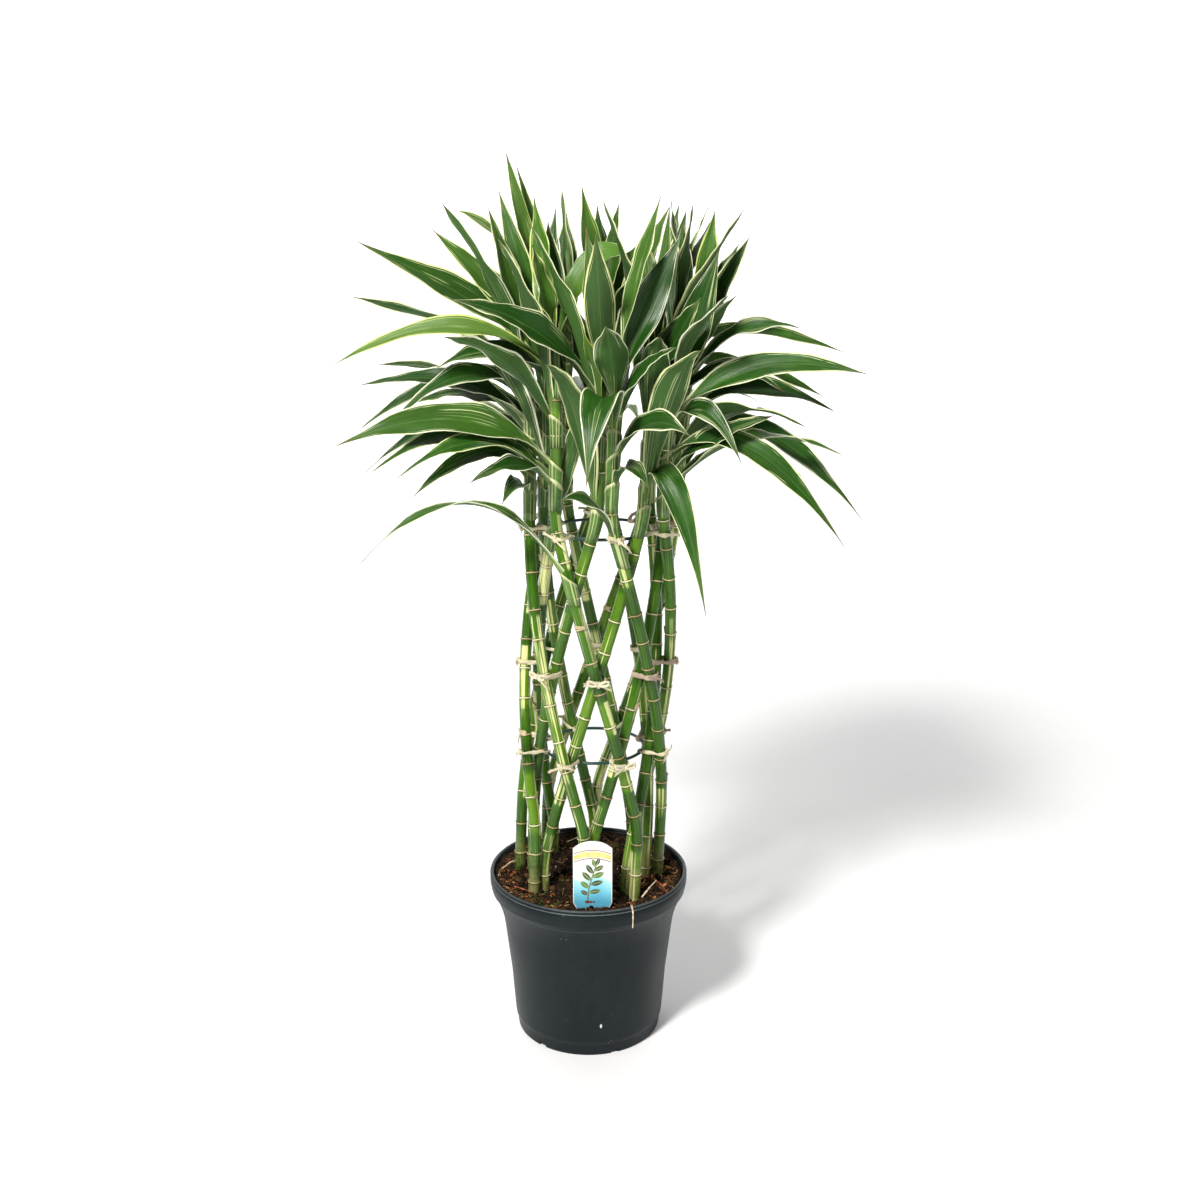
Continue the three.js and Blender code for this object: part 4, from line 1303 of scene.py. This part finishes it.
def scatterTree():
    # bits of one kind on a surface: squashed lumps of few faces, each with its own tone
    sockets = [
        ("Geometry", "Geometry"),
        ("Density", "Float", 10000.0),
        ("Seed", "Int", 1),
        ("Smallest", "Float", 0.0005),
        ("Largest", "Float", 0.0015),
        ("Shape", "Vector", (1.0, 1.0, 1.0)),
        ("Lean", "Float", 3.14),
        ("Finish", "Material"),
    ]
    tree, given, wanted = newGroup("scatteredBits", "GeometryNodeTree", sockets, [("Geometry", "Geometry")])
    density = times(tree, namedValue(tree, "bitShare"), given["Density"])
    inputs = {"Mesh": given["Geometry"], "Density": density, "Seed": given["Seed"]}
    points = put(tree, "GeometryNodeDistributePointsOnFaces", inputs).outputs["Points"]
    lump = put(tree, "GeometryNodeMeshIcoSphere", {"Radius": 1.0, "Subdivisions": 1}).outputs["Mesh"]
    inputs = {"Geometry": lump, "Scale": given["Shape"]}
    shaped = put(tree, "GeometryNodeTransform", inputs).outputs["Geometry"]
    size = randomValue(tree, "FLOAT", given["Smallest"], given["Largest"], given["Seed"])
    # it leans up to a limit to every side, and faces anywhere
    inputs = {"X": given["Lean"], "Y": given["Lean"], "Z": 3.14}
    far = put(tree, "ShaderNodeCombineXYZ", inputs).outputs[0]
    near = put(tree, "ShaderNodeVectorMath", {0: far, "Scale": -1.0}, operation="SCALE").outputs[0]
    turn = randomValue(tree, "FLOAT_VECTOR", near, far, 0)
    rotation = put(tree, "FunctionNodeEulerToRotation", {0: turn}).outputs[0]
    inputs = {"Points": points, "Instance": shaped, "Rotation": rotation, "Scale": size}
    bits = put(tree, "GeometryNodeInstanceOnPoints", inputs).outputs["Instances"]
    tone = randomValue(tree, "FLOAT", 0.0, 1.0, 11)
    endTree(tree, stored(tree, bits, "bitTone", tone, "INSTANCE"), given, wanted)
    return tree


def reliefPoints():
    # rings of points from the middle out, then the foot of the skirt and its middle
    rings, sides = soil["rings"], soil["sides"]
    points = [(0, 0, soilHeight(0, 0))]
    for i in range(1, rings + 1):
        radius = soil["radius"] * i / rings
        for j in range(sides):
            turn = fullTurn * (j + 0.5 * (i % 2)) / sides
            x, y = radius * math.cos(turn), radius * math.sin(turn)
            points.append((x, y, soilHeight(x, y)))
    radius = soil["skirtShare"] * soil["radius"]
    for j in range(sides):
        turn = fullTurn * j / sides
        points.append((radius * math.cos(turn), radius * math.sin(turn), soil["skirt"]))
    points.append((0, 0, soil["skirt"]))
    return points


def makeSoil():
    sides = soil["sides"]
    points = reliefPoints()
    faces = gridFaces(soil["rings"] + 1, sides, first=1, closed=True, flip=True)
    last = len(points) - 1
    for j in range(sides):
        k = (j + 1) % sides
        faces.append([0, 1 + j, 1 + k])
        faces.append([last, last - sides + k, last - sides + j])
    ground = meshObject("soilRelief", points, faces, earth["darkPeat"], {"bitTone": [0.25] * len(points)})
    tree = scatterTree()
    layers = [ground]
    for i, (name, (look, density, sizes, shape, lean, rule)) in enumerate(soilBits.items()):
        bits = bpy.data.objects.new(name, ground.data.copy())
        scene.collection.objects.link(bits)
        # larger bits keep further from the rim
        reach = soil["bitsWithin"] - soil["bitMargin"] * sizes[1]
        shares = []
        for x, y, z in points:
            lies = math.hypot(x, y) < reach and z > soil["bitsAbove"]
            shares.append(rule(x, y) if lies else 0.0)
        layer = bits.data.attributes.new("bitShare", "FLOAT", "POINT")
        layer.data.foreach_set("value", np.array(shares, np.float32))
        values = {"Density": density, "Seed": 3 + 7 * i, "Smallest": sizes[0], "Largest": sizes[1]}
        values.update({"Shape": shape, "Lean": lean, "Finish": earth[look]})
        layers.append(grown(bits, tree, values))
        print(name, len(bits.data.polygons), "faces")
    return layers


# Roots and twigs that lie on the soil, one of them over the lip: finish, radius and corners.
strands = {
    "lipRoot": ("paleRoot", 0.85, [
        (35.5, -67, 142), (36, -72, 144.8), (36.2, -80, 146.2), (36.6, -85.4, 146), (36.7, -86.4, 141),
        (36.5, -85.6, 132),
    ]),
    "whiteTwig": ("paleRoot", 0.95, [(45, -52, 142.5), (49, -46, 144.5), (52, -40, 145.5), (57.5, -29, 146)]),
    "redTwig": ("redTwig", 0.8, [
        (40, -47, 142), (41, -38, 145), (42.5, -30, 146.5), (49, -23.5, 146.8), (57, -26.5, 146),
    ]),
    "thinTwig": ("redTwig", 0.5, [(57, -28, 146), (62, -38, 146), (66.5, -50, 144.5)]),
    "redRoot": ("redTwig", 0.7, [(33, -62, 142), (35, -68, 145), (36, -73, 146)]),
    "leftTwig": ("paleRoot", 0.6, [(-75, 0, 143), (-67, 10, 145), (-57, 20, 144.5)]),
    "frontTwig": ("redTwig", 0.7, [(-62, -34, 143), (-54, -42, 144.4), (-46, -45, 143)]),
    "backTwig": ("paleRoot", 0.6, [(-20, 55, 143), (-8, 62, 144.5), (8, 64, 143.4)]),
}


def smoothPath(corners, steps=5):
    # a path through its corners, rounded between them
    corners = [Vector(corner) for corner in corners]
    path = []
    for i in range(len(corners) - 1):
        before, after = corners[max(0, i - 1)], corners[min(len(corners) - 1, i + 2)]
        a, b = corners[i], corners[i + 1]
        for k in range(steps):
            t = k / steps
            straight = 2 * a + (b - before) * t
            bend = (2 * before - 5 * a + 4 * b - after) * t * t + (3 * a - before - 3 * b + after) * t ** 3
            path.append(0.5 * (straight + bend))
    return path + [corners[-1]]


def makeStrands():
    pieces = []
    for name, (look, thick, corners) in strands.items():
        path = smoothPath(corners)
        last = len(path) - 1
        radii = [thick * (1 - 0.45 * i / last) * (1 + 0.18 * math.sin(5.1 * i)) for i in range(last + 1)]
        tone = [0.4 + 0.3 * math.sin(1.7 * i) for i in range(last + 1)]
        pieces.append(tubePiece(name, path, radii, earth[look], 8, {"bitTone": tone}))
    return pieces


earth = {name: makeEarthFinish(name, *tones) for name, tones in earthTones.items()}
whole = joined(makeSoil() + makeStrands(), "peatSoil")
handOver(whole, "potting_soil", "soil")
print("soil laid,", len(whole.data.polygons), "faces")


hoops = {
    "heights": {"hoop_lower": 257.0, "hoop_upper": 443.6},
    "radius": 42.15,
    "wobble": 0.12,
    "wire": 1.3,
    "steps": 96,
    "sides": 14,
}


def makeWireFinish():
    material, tree = newMaterial("coatedWire", 0.35)
    tone = toneOf(tree, objectSpace(tree), 60.0, 500.0)
    stops = [(0.3, (0.004, 0.026, 0.020)), (0.5, (0.007, 0.044, 0.033)), (0.75, (0.018, 0.075, 0.055))]
    return surfaced(material, ramp(tree, tone, stops), scaled(tree, tone, 0.3, 0.22), tone, 0.2, 0.0003)


wireFinish = makeWireFinish()
for node, height in hoops["heights"].items():
    path = []
    shift = lattice["lean"] * (height - lattice["soilLevel"])
    for i in range(hoops["steps"]):
        turn = fullTurn * i / hoops["steps"]
        radius = hoops["radius"] + hoops["wobble"] * math.sin(3 * turn + height)
        path.append((shift + radius * math.cos(turn), radius * math.sin(turn), height))
    radii = [hoops["wire"]] * len(path)
    hoop = tubePiece(node + "_wire", path, radii, wireFinish, hoops["sides"], looped=True)
    handOver(hoop, "coated_wire", node)
print("hoops bent")


# The tag: white card with a sky-blue lower field, a yellow band and a plain leafy sprig.
plantTag = {
    "place": (4.0, -68.0),
    "half": 16.0,
    "top": 200.0,
    "arch": 6.5,
    "shoulder": 145.5,
    "corner": 140.5,
    "stake": 13.5,
    "foot": 96.0,
    "thickness": 0.9,
    "bevel": 0.16,
    "archSteps": 10,
    "archShare": 0.6,
    "columns": 13,
    # discs on the yellow band and beads at the foot of the sprig as (across, size)
    "discs": [(-8.0, 3.4), (0.5, 4.2), (8.5, 3.2)],
    "beads": [(-4.4, 1.5), (-1.6, 1.1), (1.0, 0.9)],
    # the sprig's stem wanders and leans over its height
    "wander": {"rate": 0.11, "reach": 1.4, "from": -3.6, "lean": 0.16, "foot": 145.0},
    # leaves of the printed sprig as (height on its stem, turn in degrees, length, width)
    "sprig": [
        (152.5, 148, 7.5, 3.6), (154.5, 12, 10.5, 4.2), (158.5, 140, 9.5, 4.4), (161.5, 16, 11.5, 4.6),
        (165.0, 132, 11.0, 4.8), (168.0, 24, 11.0, 4.8), (171.0, 124, 10.5, 4.4), (173.5, 34, 9.5, 4.2),
        (177.0, 108, 8.0, 3.6), (178.5, 66, 7.5, 3.4),
    ],
}


def makeLeafMark():
    # 1 inside a pointed oval that starts at a place and runs along a turn
    inputs = [
        ("Vector", "Vector"),
        ("Place", "Vector", (0.0, 0.0, 0.0)),
        ("Turn", "Float", 0.0),
        ("Length", "Float", 10.0),
        ("Width", "Float", 3.0),
    ]
    outputs = [("Value", "Float"), ("Rib", "Float")]
    group, given, wanted = newGroup("leafMark", "ShaderNodeTree", inputs, outputs)
    away = vectorMath(group, "SUBTRACT", given["Vector"], given["Place"])[0]
    turned = {"Vector": away, "Angle": given["Turn"]}
    turned = put(group, "ShaderNodeVectorRotate", turned, rotation_type="Z_AXIS").outputs[0]
    split = put(group, "ShaderNodeSeparateXYZ", {0: turned}).outputs
    share = worked(group, "DIVIDE", split["X"], given["Length"])
    inside = times(group, share, minus(group, 1.0, share))
    half = times(group, times(group, inside, 2.0), given["Width"])
    gap = worked(group, "ABSOLUTE", split["Y"])
    group.links.new(between(group, minus(group, half, gap), -0.05, 0.2), wanted["Value"])
    group.links.new(between(group, gap, 0.28, 0.1), wanted["Rib"])
    return group


def bandLayers(tree, space, x, height):
    # a yellow band with a thin rim sweeps over the upper part, with three pale discs on it
    bend = times(tree, times(tree, x, x), -0.014)
    band = apart(tree, height, plus(tree, bend, 188.5))
    rim = between(tree, apart(tree, band, 3.6), 0.5, 0.3)
    layers = [(between(tree, band, 2.5, 1.9), 0.85, (0.80, 0.55, 0.07)), (rim, 1.0, (0.26, 0.08, 0.04))]
    for centre, size in plantTag["discs"]:
        far = distanceFrom(tree, space, (centre, 188.2, 0.0), (1.0, 1.0, 0.0))
        layers.append((between(tree, far, size, size * 0.55), 0.85, (0.90, 0.78, 0.24)))
    return layers


def sprigLayers(tree, space, x, height):
    # one stem, its leaves in three tones with pale ribs, and dark beads at the foot
    wander = plantTag["wander"]
    curve = worked(tree, "SINE", times(tree, height, wander["rate"]))
    curve = scaled(tree, curve, wander["reach"], wander["from"])
    lean = times(tree, minus(tree, height, wander["foot"]), wander["lean"])
    stem = between(tree, apart(tree, x, plus(tree, curve, lean)), 0.75, 0.45)
    reach = times(tree, between(tree, height, 146.0, 147.0), between(tree, height, 181.0, 180.0))
    layers = [(times(tree, stem, reach), 1.0, (0.16, 0.20, 0.12))]
    leafMark = makeLeafMark()
    for i, (up, turn, length, width) in enumerate(plantTag["sprig"]):
        at = wander["from"] + wander["reach"] * math.sin(wander["rate"] * up)
        at += wander["lean"] * (up - wander["foot"])
        inputs = {"Vector": space, "Place": (at, up, 0.0), "Turn": math.radians(-turn)}
        inputs.update({"Length": length, "Width": width})
        mark = put(tree, "ShaderNodeGroup", inputs, node_tree=leafMark).outputs
        shade = (0.02 + 0.04 * (i % 3), 0.05 + 0.07 * (i % 3), 0.02)
        layers.append((mark["Value"], 1.0, shade))
        layers.append((times(tree, mark["Rib"], mark["Value"]), 0.8, (0.62, 0.66, 0.28)))
    for centre, size in plantTag["beads"]:
        far = distanceFrom(tree, space, (centre, 146.2, 0.0), (0.7, 1.0, 0.0))
        layers.append((between(tree, far, size, size * 0.8), 1.0, (0.20, 0.045, 0.03)))
    return layers


def makeCardFinish():
    material, tree = newMaterial("printedCard", 0.28)
    space = attribute(tree, "cardSpace", "Vector")
    split = put(tree, "ShaderNodeSeparateXYZ", {0: space}).outputs
    x, height, face = split["X"], split["Y"], split["Z"]
    paper = toneOf(tree, objectSpace(tree), 60.0, 700.0)
    white = ramp(tree, paper, [(0.3, (0.86, 0.87, 0.87)), (0.7, (0.92, 0.92, 0.91))])
    # the blue field fades in below a wavy shore
    shore = worked(tree, "SINE", scaled(tree, x, 0.26, 0.8))
    below = minus(tree, scaled(tree, shore, 2.6, 169.0), height)
    stops = [(0.0, (0.34, 0.72, 0.80)), (0.5, (0.13, 0.56, 0.72)), (1.0, (0.08, 0.44, 0.64))]
    field = ramp(tree, between(tree, below, 0.0, 26.0), stops)
    layers = [(between(tree, below, -1.5, 4.5), 0.95, field)]
    layers += bandLayers(tree, space, x, height) + sprigLayers(tree, space, x, height)
    # the edges, the back and a thin border stay white, and soil has soiled the stake
    layers.append((between(tree, attribute(tree, "edgeGap"), 0.9, 0.6), 1.0, (0.86, 0.87, 0.87)))
    front = layered(tree, white, *layers)
    soiled = between(tree, plus(tree, height, times(tree, paper, 4.0)), 145.0, 141.5)
    sides = ((between(tree, face, 0.4, 0.6), 1.0, front), (soiled, 0.75, (0.10, 0.055, 0.03)))
    colour = layered(tree, (0.80, 0.81, 0.80), *sides)
    return surfaced(material, colour, scaled(tree, paper, 0.2, 0.2), paper, 0.1, 0.0003)


def widthAt(outline, z):
    # half the width of a symmetric outline at a height
    widest = 0.0
    for i, (x, height) in enumerate(outline):
        following, above = outline[(i + 1) % len(outline)]
        low, high = sorted((height, above))
        if low <= z <= high and high > low:
            widest = max(widest, abs(x + (following - x) * (z - height) / (above - height)))
    return widest


def tagOutline():
    # a pointed stake, two shoulders and an arched top
    half, top, arch = plantTag["half"], plantTag["top"], plantTag["arch"]
    stake, corner = plantTag["stake"], plantTag["corner"]
    corners = [(stake / 4, plantTag["foot"]), (stake, corner), (half, plantTag["shoulder"])]
    for k in range(plantTag["archSteps"] + 1):
        t = k / plantTag["archSteps"]
        s = 1 - t
        across = s * s * half + 2 * s * t * half * plantTag["archShare"]
        corners.append((across, s * s * (top - arch) + 2 * s * t * top + t * t * top))
    return corners + [(-x, z) for x, z in corners[::-1] if x > 0.01]


def makeTag():
    top, arch, shoulder = plantTag["top"], plantTag["arch"], plantTag["shoulder"]
    bevel, thick = plantTag["bevel"], plantTag["thickness"] / 2
    outline = tagOutline()
    count = len(outline)
    points, spaces = [], []
    for inset, depth in ((bevel, thick), (0.0, thick - bevel), (0.0, bevel - thick), (bevel, -thick)):
        for i, (x, z) in enumerate(outline):
            before, after = outline[i - 1], outline[(i + 1) % count]
            away = unit(np.array([after[0] - before[0], after[1] - before[1]]))
            x, z = x - inset * away[1], z + inset * away[0]
            points.append((x, depth, z))
            spaces.append((x, z, 1.0 if depth == -thick else 0.0))
    faces = gridFaces(4, count, closed=True)
    # the front and back are grids of their own, so that the border can be measured
    edge = [(x, z) for x, depth, z in points[3 * count:]]
    levels = [plantTag["foot"] + bevel, 118, plantTag["corner"], shoulder]
    levels += [shoulder + (top - arch - shoulder) * k / 6 for k in range(1, 7)]
    levels += [top - arch + (arch - bevel) * share for share in (0.3, 0.55, 0.75, 0.9, 0.985)]
    columns = plantTag["columns"]
    for front in (False, True):
        first = len(points)
        for z in levels:
            reach = widthAt(edge, z)
            for k in range(columns):
                x = reach * (2 * k / (columns - 1) - 1)
                points.append((x, -thick if front else thick, z))
                spaces.append((x, z, 1.0 if front else 0.0))
        faces.extend(gridFaces(len(levels), columns, first=first, flip=not front))
    gaps = [min(widthAt(outline, z) - abs(x), (top - z) * 0.8) for x, z, _ in spaces]
    values = {"cardSpace": spaces, "edgeGap": gaps}
    points = np.array(points) + [*plantTag["place"], 0.0]
    card = meshObject("plantTag", points, faces, makeCardFinish(), values, smooth=False)
    handOver(card, "label_card", "plant_label")


makeTag()
print("label printed")


# Raffia: each tie is a strip wound round its canes, a knot and short frayed ends.
ties = {
    "rows": {"lower": 260.55, "middle": 332.0, "upper": 447.15},
    "hoopDrop": 3.55,
    "hoopWire": 1.4,
    "halfWidth": {"lower": 7.6, "middle": 6.1, "upper": 6.5},
    "gap": 0.3,
    "steps": 44,
    "dots": 20,
    "strip": (0.55, 1.55),
    "sides": 8,
    "endPoints": 8,
    "endWidths": (0.72, 0.85, 0.55),
    # ties whose raffia has gone brown, and ties that end in a bow, by their compass place
    "brown": {"middle": (45, 90), "upper": (90, 135), "lower": (112,)},
    "bows": {"middle": (0, 315), "lower": (22,), "upper": (90,)},
    "nearPlace": 12,
}


def makeRaffiaFinish():
    material, tree = newMaterial("dryRaffia", 0.7)
    uneven = toneOf(tree, objectSpace(tree), 120.0, 600.0)
    mixed = plus(tree, attribute(tree, "strandTone"), times(tree, uneven, 0.45))
    stops = [(0.15, (0.90, 0.86, 0.63)), (0.42, (0.84, 0.76, 0.50))]
    stops += [(0.75, (0.56, 0.43, 0.33)), (1.0, (0.42, 0.32, 0.26))]
    fibres = linesOf(tree, attribute(tree, "caneSpace", "Vector"), (3.2, 3.2, 0.25), 1.6)
    colour = layered(tree, ramp(tree, mixed, stops), (fibres, 0.25, (0.50, 0.37, 0.19)))
    return surfaced(material, colour, None, fibres, 0.7, 0.0005)


raffiaFinish = makeRaffiaFinish()
stripPath = sweptPathTree("stripPath", True)


def hullOf(points):
    # counterclockwise convex hull in the plane
    def half(row):
        chain = []
        for point in row:
            while len(chain) > 1:
                (ax, ay), (bx, by) = chain[-2], chain[-1]
                if (bx - ax) * (point[1] - ay) - (by - ay) * (point[0] - ax) > 0:
                    break
                chain.pop()
            chain.append(point)
        return chain[:-1]

    ordered = sorted(points)
    return half(ordered) + half(ordered[::-1])


def travelled(path):
    # how far along a path each of its points lies
    return np.concatenate([[0], np.cumsum(np.linalg.norm(np.diff(path, axis=0), axis=1))])


def evenly(path, count):
    # points at even distances along a closed path
    path = np.array(path + path[:1])
    steps = travelled(path)
    places = np.linspace(0, steps[-1], count, endpoint=False)
    return np.stack([np.interp(places, steps, path[:, k]) for k in range(path.shape[1])], 1)


def stripPiece(name, points, widths, tone, tilts, looped=False):
    values = {
        "pathRadius": np.asarray(widths) * millimetre,
        "pathTilt": tilts,
        "alongPath": travelled(points),
        "strandTone": np.full(len(points), tone),
    }
    inputs = {"Sides": ties["sides"], "Section": (*ties["strip"], 1.0), "Finish": raffiaFinish}
    piece = pathPiece(name, points, values, stripPath, inputs, looped)
    addCaneSpace(piece, 0.4)
    return piece


def tieAngle(row, index):
    # where a tie stands round the lattice: at or between the crossings of its row
    angle = caneAngle(stems[index], ties["rows"][row])
    eighth = math.pi / 4
    if row == "lower":
        return eighth * (math.floor(angle / eighth) + 0.5)
    if row == "middle":
        return eighth * math.floor(angle / eighth + 0.5)
    return angle


def isListed(tie, kind):
    return any(abs(tie["compass"] - place) < ties["nearPlace"] for place in ties[kind][tie["row"]])


def newTie(row, index, frameDraw, draw):
    angle = tieAngle(row, index)
    height = ties["rows"][row]
    tie = {"row": row, "length": 19 + 7 * frameDraw(), "tilt": math.radians(64 * (frameDraw() - 0.5))}
    tie["offset"] = 3 * frameDraw() - 1.5
    tie["compass"] = round(math.degrees(angle)) % 360
    tie["brown"] = isListed(tie, "brown")
    tie["tone"] = 0.62 if tie["brown"] else 0.02 + 0.2 * draw()
    tie["across"] = np.array([math.cos(angle), math.sin(angle), 0.0])
    tie["outward"] = np.array([math.sin(angle), -math.cos(angle), 0.0])
    tie["origin"] = np.array([lattice["lean"] * (height - lattice["soilLevel"]), 0.0, height])
    # the canes and the hoop that it goes round, as (x, y, radius) in its own plane
    tie["held"] = []
    for stem in stems:
        away = canePoint(stem, height) - tie["origin"]
        x, y = away @ tie["across"], away @ tie["outward"]
        if abs(x) < ties["halfWidth"][row] * 0.9 and y > 0:
            tie["held"].append((x, y, caneStyle["radius"] + 0.2))
    if row != "middle":
        tie["held"].append((0.0, hoops["radius"], ties["hoopWire"]))
    tie["front"] = max(y + radius for x, y, radius in tie["held"]) + ties["gap"] + 1.2
    return tie


def onTie(tie, x, y, z):
    return tie["origin"] + x * tie["across"] + y * tie["outward"] + np.array([0.0, 0.0, z])


def winding(tie, turn, draw):
    # one turn of the strip round all that it holds, which sinks behind to pass the hoop
    clear = ties["gap"] + ties["strip"][0] * (1 + 0.9 * turn)
    dots = []
    for x, y, radius in tie["held"]:
        for k in range(ties["dots"]):
            around = fullTurn * k / ties["dots"]
            reach = radius + clear
            dots.append((x + reach * math.cos(around), y + reach * math.sin(around)))
    slant = math.tan(tie["tilt"]) * 0.16 * (1 if turn == 0 else -1)
    lift = 1.1 * (turn - 0.35)
    path, widths, tilts = [], [], []
    phase = 6.3 * draw()
    for i, (x, y) in enumerate(evenly(hullOf(dots), ties["steps"])):
        sink = clamped((48.0 - y) / 6.0) if tie["row"] != "middle" else 0.0
        wander = 0.25 * math.sin(0.9 * i + phase)
        z = slant * x + lift * (1 - sink) + wander - ties["hoopDrop"] * sink
        path.append(onTie(tie, x, y, z))
        widths.append(0.95 + 0.22 * math.sin(0.55 * i + phase) + (0.25 if tie["brown"] else 0.0))
        tilts.append(0.35 * math.sin(0.4 * i + phase))
    return stripPiece("winding", path, widths, tie["tone"], tilts, looped=True)


def knotTurn(tie, lean, count=12):
    # a short turn over the strip
    path = []
    for k in range(count):
        around = fullTurn * k / count
        z = 2.1 * math.sin(around)
        y = tie["front"] + 0.75 * math.cos(around) - 0.1
        path.append(onTie(tie, tie["offset"] + lean * z + 0.4 * lean, y, z))
    return stripPiece("knot", path, [0.8] * count, tie["tone"], [0.3] * count, looped=True)


def looseEnds(tie, hand, draw):
    # a loose end to one side, split at its tip
    count = ties["endPoints"]
    arm = tie["length"] / 2 - tie["offset"] * hand * 0.5
    droop = (0.5 + draw()) * 0.045
    curl = 0.5 + 1.6 * draw()
    pieces = []
    for split, width in enumerate(ties["endWidths"]):
        path = []
        shares = [k / (count - 1) for k in range(count)]
        for share in shares:
            reach = arm * share * (1 - 0.14 * split * draw())
            spread = (split - 1) * 1.5 * share ** 2 * (0.6 + 0.4 * draw())
            x = tie["offset"] + hand * reach * math.cos(tie["tilt"])
            y = tie["front"] + 0.3 + curl * math.sin(2.4 * share) - 0.9 * share * share
            z = reach * math.sin(tie["tilt"]) * hand - droop * reach ** 1.5 + spread
            path.append(onTie(tie, x, y, z))
        widths = [width * (1 - 0.55 * share) for share in shares]
        tilts = [0.5 * hand * k / count + 0.25 * split for k in range(count)]
        pieces.append(stripPiece("end", path, widths, tie["tone"], tilts))
    return pieces


def bowLoop(tie, hand, count=15):
    path = []
    for k in range(count):
        around = fullTurn * k / count
        reach = 5.2 * (1 - math.cos(around)) * 0.85
        side = 2.3 * math.sin(around) * (0.4 + 0.6 * reach / 8.8)
        y = tie["front"] + 0.9 + 1.3 * math.sin(around / 2)
        path.append(onTie(tie, tie["offset"] + hand * reach, y, side + 0.22 * reach + 0.3))
    tone = max(0.0, tie["tone"] - 0.08)
    return stripPiece("bow", path, [0.75] * count, tone, [0.2] * count, looped=True)


def makeTie(row, index, frameDraw, draw):
    tie = newTie(row, index, frameDraw, draw)
    turns = 2 if row == "middle" or draw() < 0.6 else 1
    pieces = [winding(tie, turn, draw) for turn in range(turns)]
    pieces += [knotTurn(tie, lean) for lean in (-0.5, 0.45)]
    for hand in (-1, 1):
        pieces += looseEnds(tie, hand, draw)
    if isListed(tie, "bows"):
        pieces += [bowLoop(tie, hand) for hand in (-1, 1)]
    name = "tie_%s_%d" % (row, index + 1)
    handOver(joined(pieces, name + "_raffia"), "raffia", name)


frameDraw, tieDraw = seededDraw(5), seededDraw(31)
for row in ties["rows"]:
    for index in range(lattice["canesPerLayer"]):
        makeTie(row, index, frameDraw, tieDraw)
print("raffia tied")


# A pale floor that curves up into a backdrop and glows away from the plant.
studio = {
    "half": 5000.0,
    "front": -5000.0,
    "bend": 1600.0,
    "radius": 1000.0,
    "top": 3200.0,
    "steps": 16,
    "glow": 0.93,
    "glowFrom": 0.8,
    "glowFull": 3.0,
    "worldGlow": 0.14,
    "worldSeen": 0.93,
}


def makeFloorFinish():
    material, tree = newMaterial("paleFloor", 0.75)
    shader = tree.nodes["Principled BSDF"]
    tone = toneOf(tree, objectSpace(tree), 1.5, 40.0, 0.2)
    pale = ramp(tree, tone, [(0.3, (0.90, 0.90, 0.90)), (0.7, (0.93, 0.93, 0.93))])
    tree.links.new(pale, shader.inputs["Base Color"])
    distance = vectorMath(tree, "LENGTH", objectSpace(tree))["Value"]
    glow = times(tree, between(tree, distance, studio["glowFrom"], studio["glowFull"]), studio["glow"])
    tree.links.new(glow, shader.inputs["Emission Strength"])
    shader.inputs["Emission Color"].default_value = (1.0, 1.0, 1.0, 1.0)
    return material


def makeStage():
    profile = [(studio["front"], 0.0), (studio["bend"], 0.0)]
    radius = studio["radius"]
    for i in range(1, studio["steps"] + 1):
        turn = math.pi / 2 * i / studio["steps"]
        profile.append((studio["bend"] + radius * math.sin(turn), radius * (1 - math.cos(turn))))
    profile.append((studio["bend"] + radius, studio["top"]))
    points = [(x, y, z) for y, z in profile for x in (-studio["half"], studio["half"])]
    floor = meshObject("floor", points, gridFaces(len(profile), 2, flip=True), makeFloorFinish())


def makeWorld():
    # dim for the plant's own light, white where the camera sees it
    world = bpy.data.worlds.new("studio")
    world.use_nodes = True
    tree = world.node_tree
    background = tree.nodes["Background"]
    background.inputs["Color"].default_value = (1.0, 1.0, 1.0, 1.0)
    seen = put(tree, "ShaderNodeLightPath").outputs["Is Camera Ray"]
    strength = scaled(tree, seen, studio["worldSeen"], studio["worldGlow"])
    tree.links.new(strength, background.inputs["Strength"])
    scene.world = world


def addSoftLight(name, place, aim, size, power, colour=(1.0, 1.0, 1.0)):
    data = bpy.data.lights.new(name, "AREA")
    data.shape = "DISK"
    data.size = size
    data.energy = power
    data.color = colour
    lamp = bpy.data.objects.new(name, data)
    lamp.location = place
    lamp.rotation_euler = (Vector(aim) - Vector(place)).to_track_quat("-Z", "Y").to_euler()
    scene.collection.objects.link(lamp)


makeStage()
makeWorld()
addSoftLight("keyLight", (-0.87, -1.5, 1.97), (0.0, 0.0, 0.35), 0.45, 77.0, (1.0, 0.985, 0.96))
addSoftLight("fillLight", (1.6, -1.2, 1.2), (0.0, 0.0, 0.35), 1.4, 5.0)
addSoftLight("backdropLight", (0.0, 1.0, 2.4), (0.0, 2.6, 0.6), 2.4, 14.0)
scene.view_settings.view_transform = "Standard"
print("studio lit")
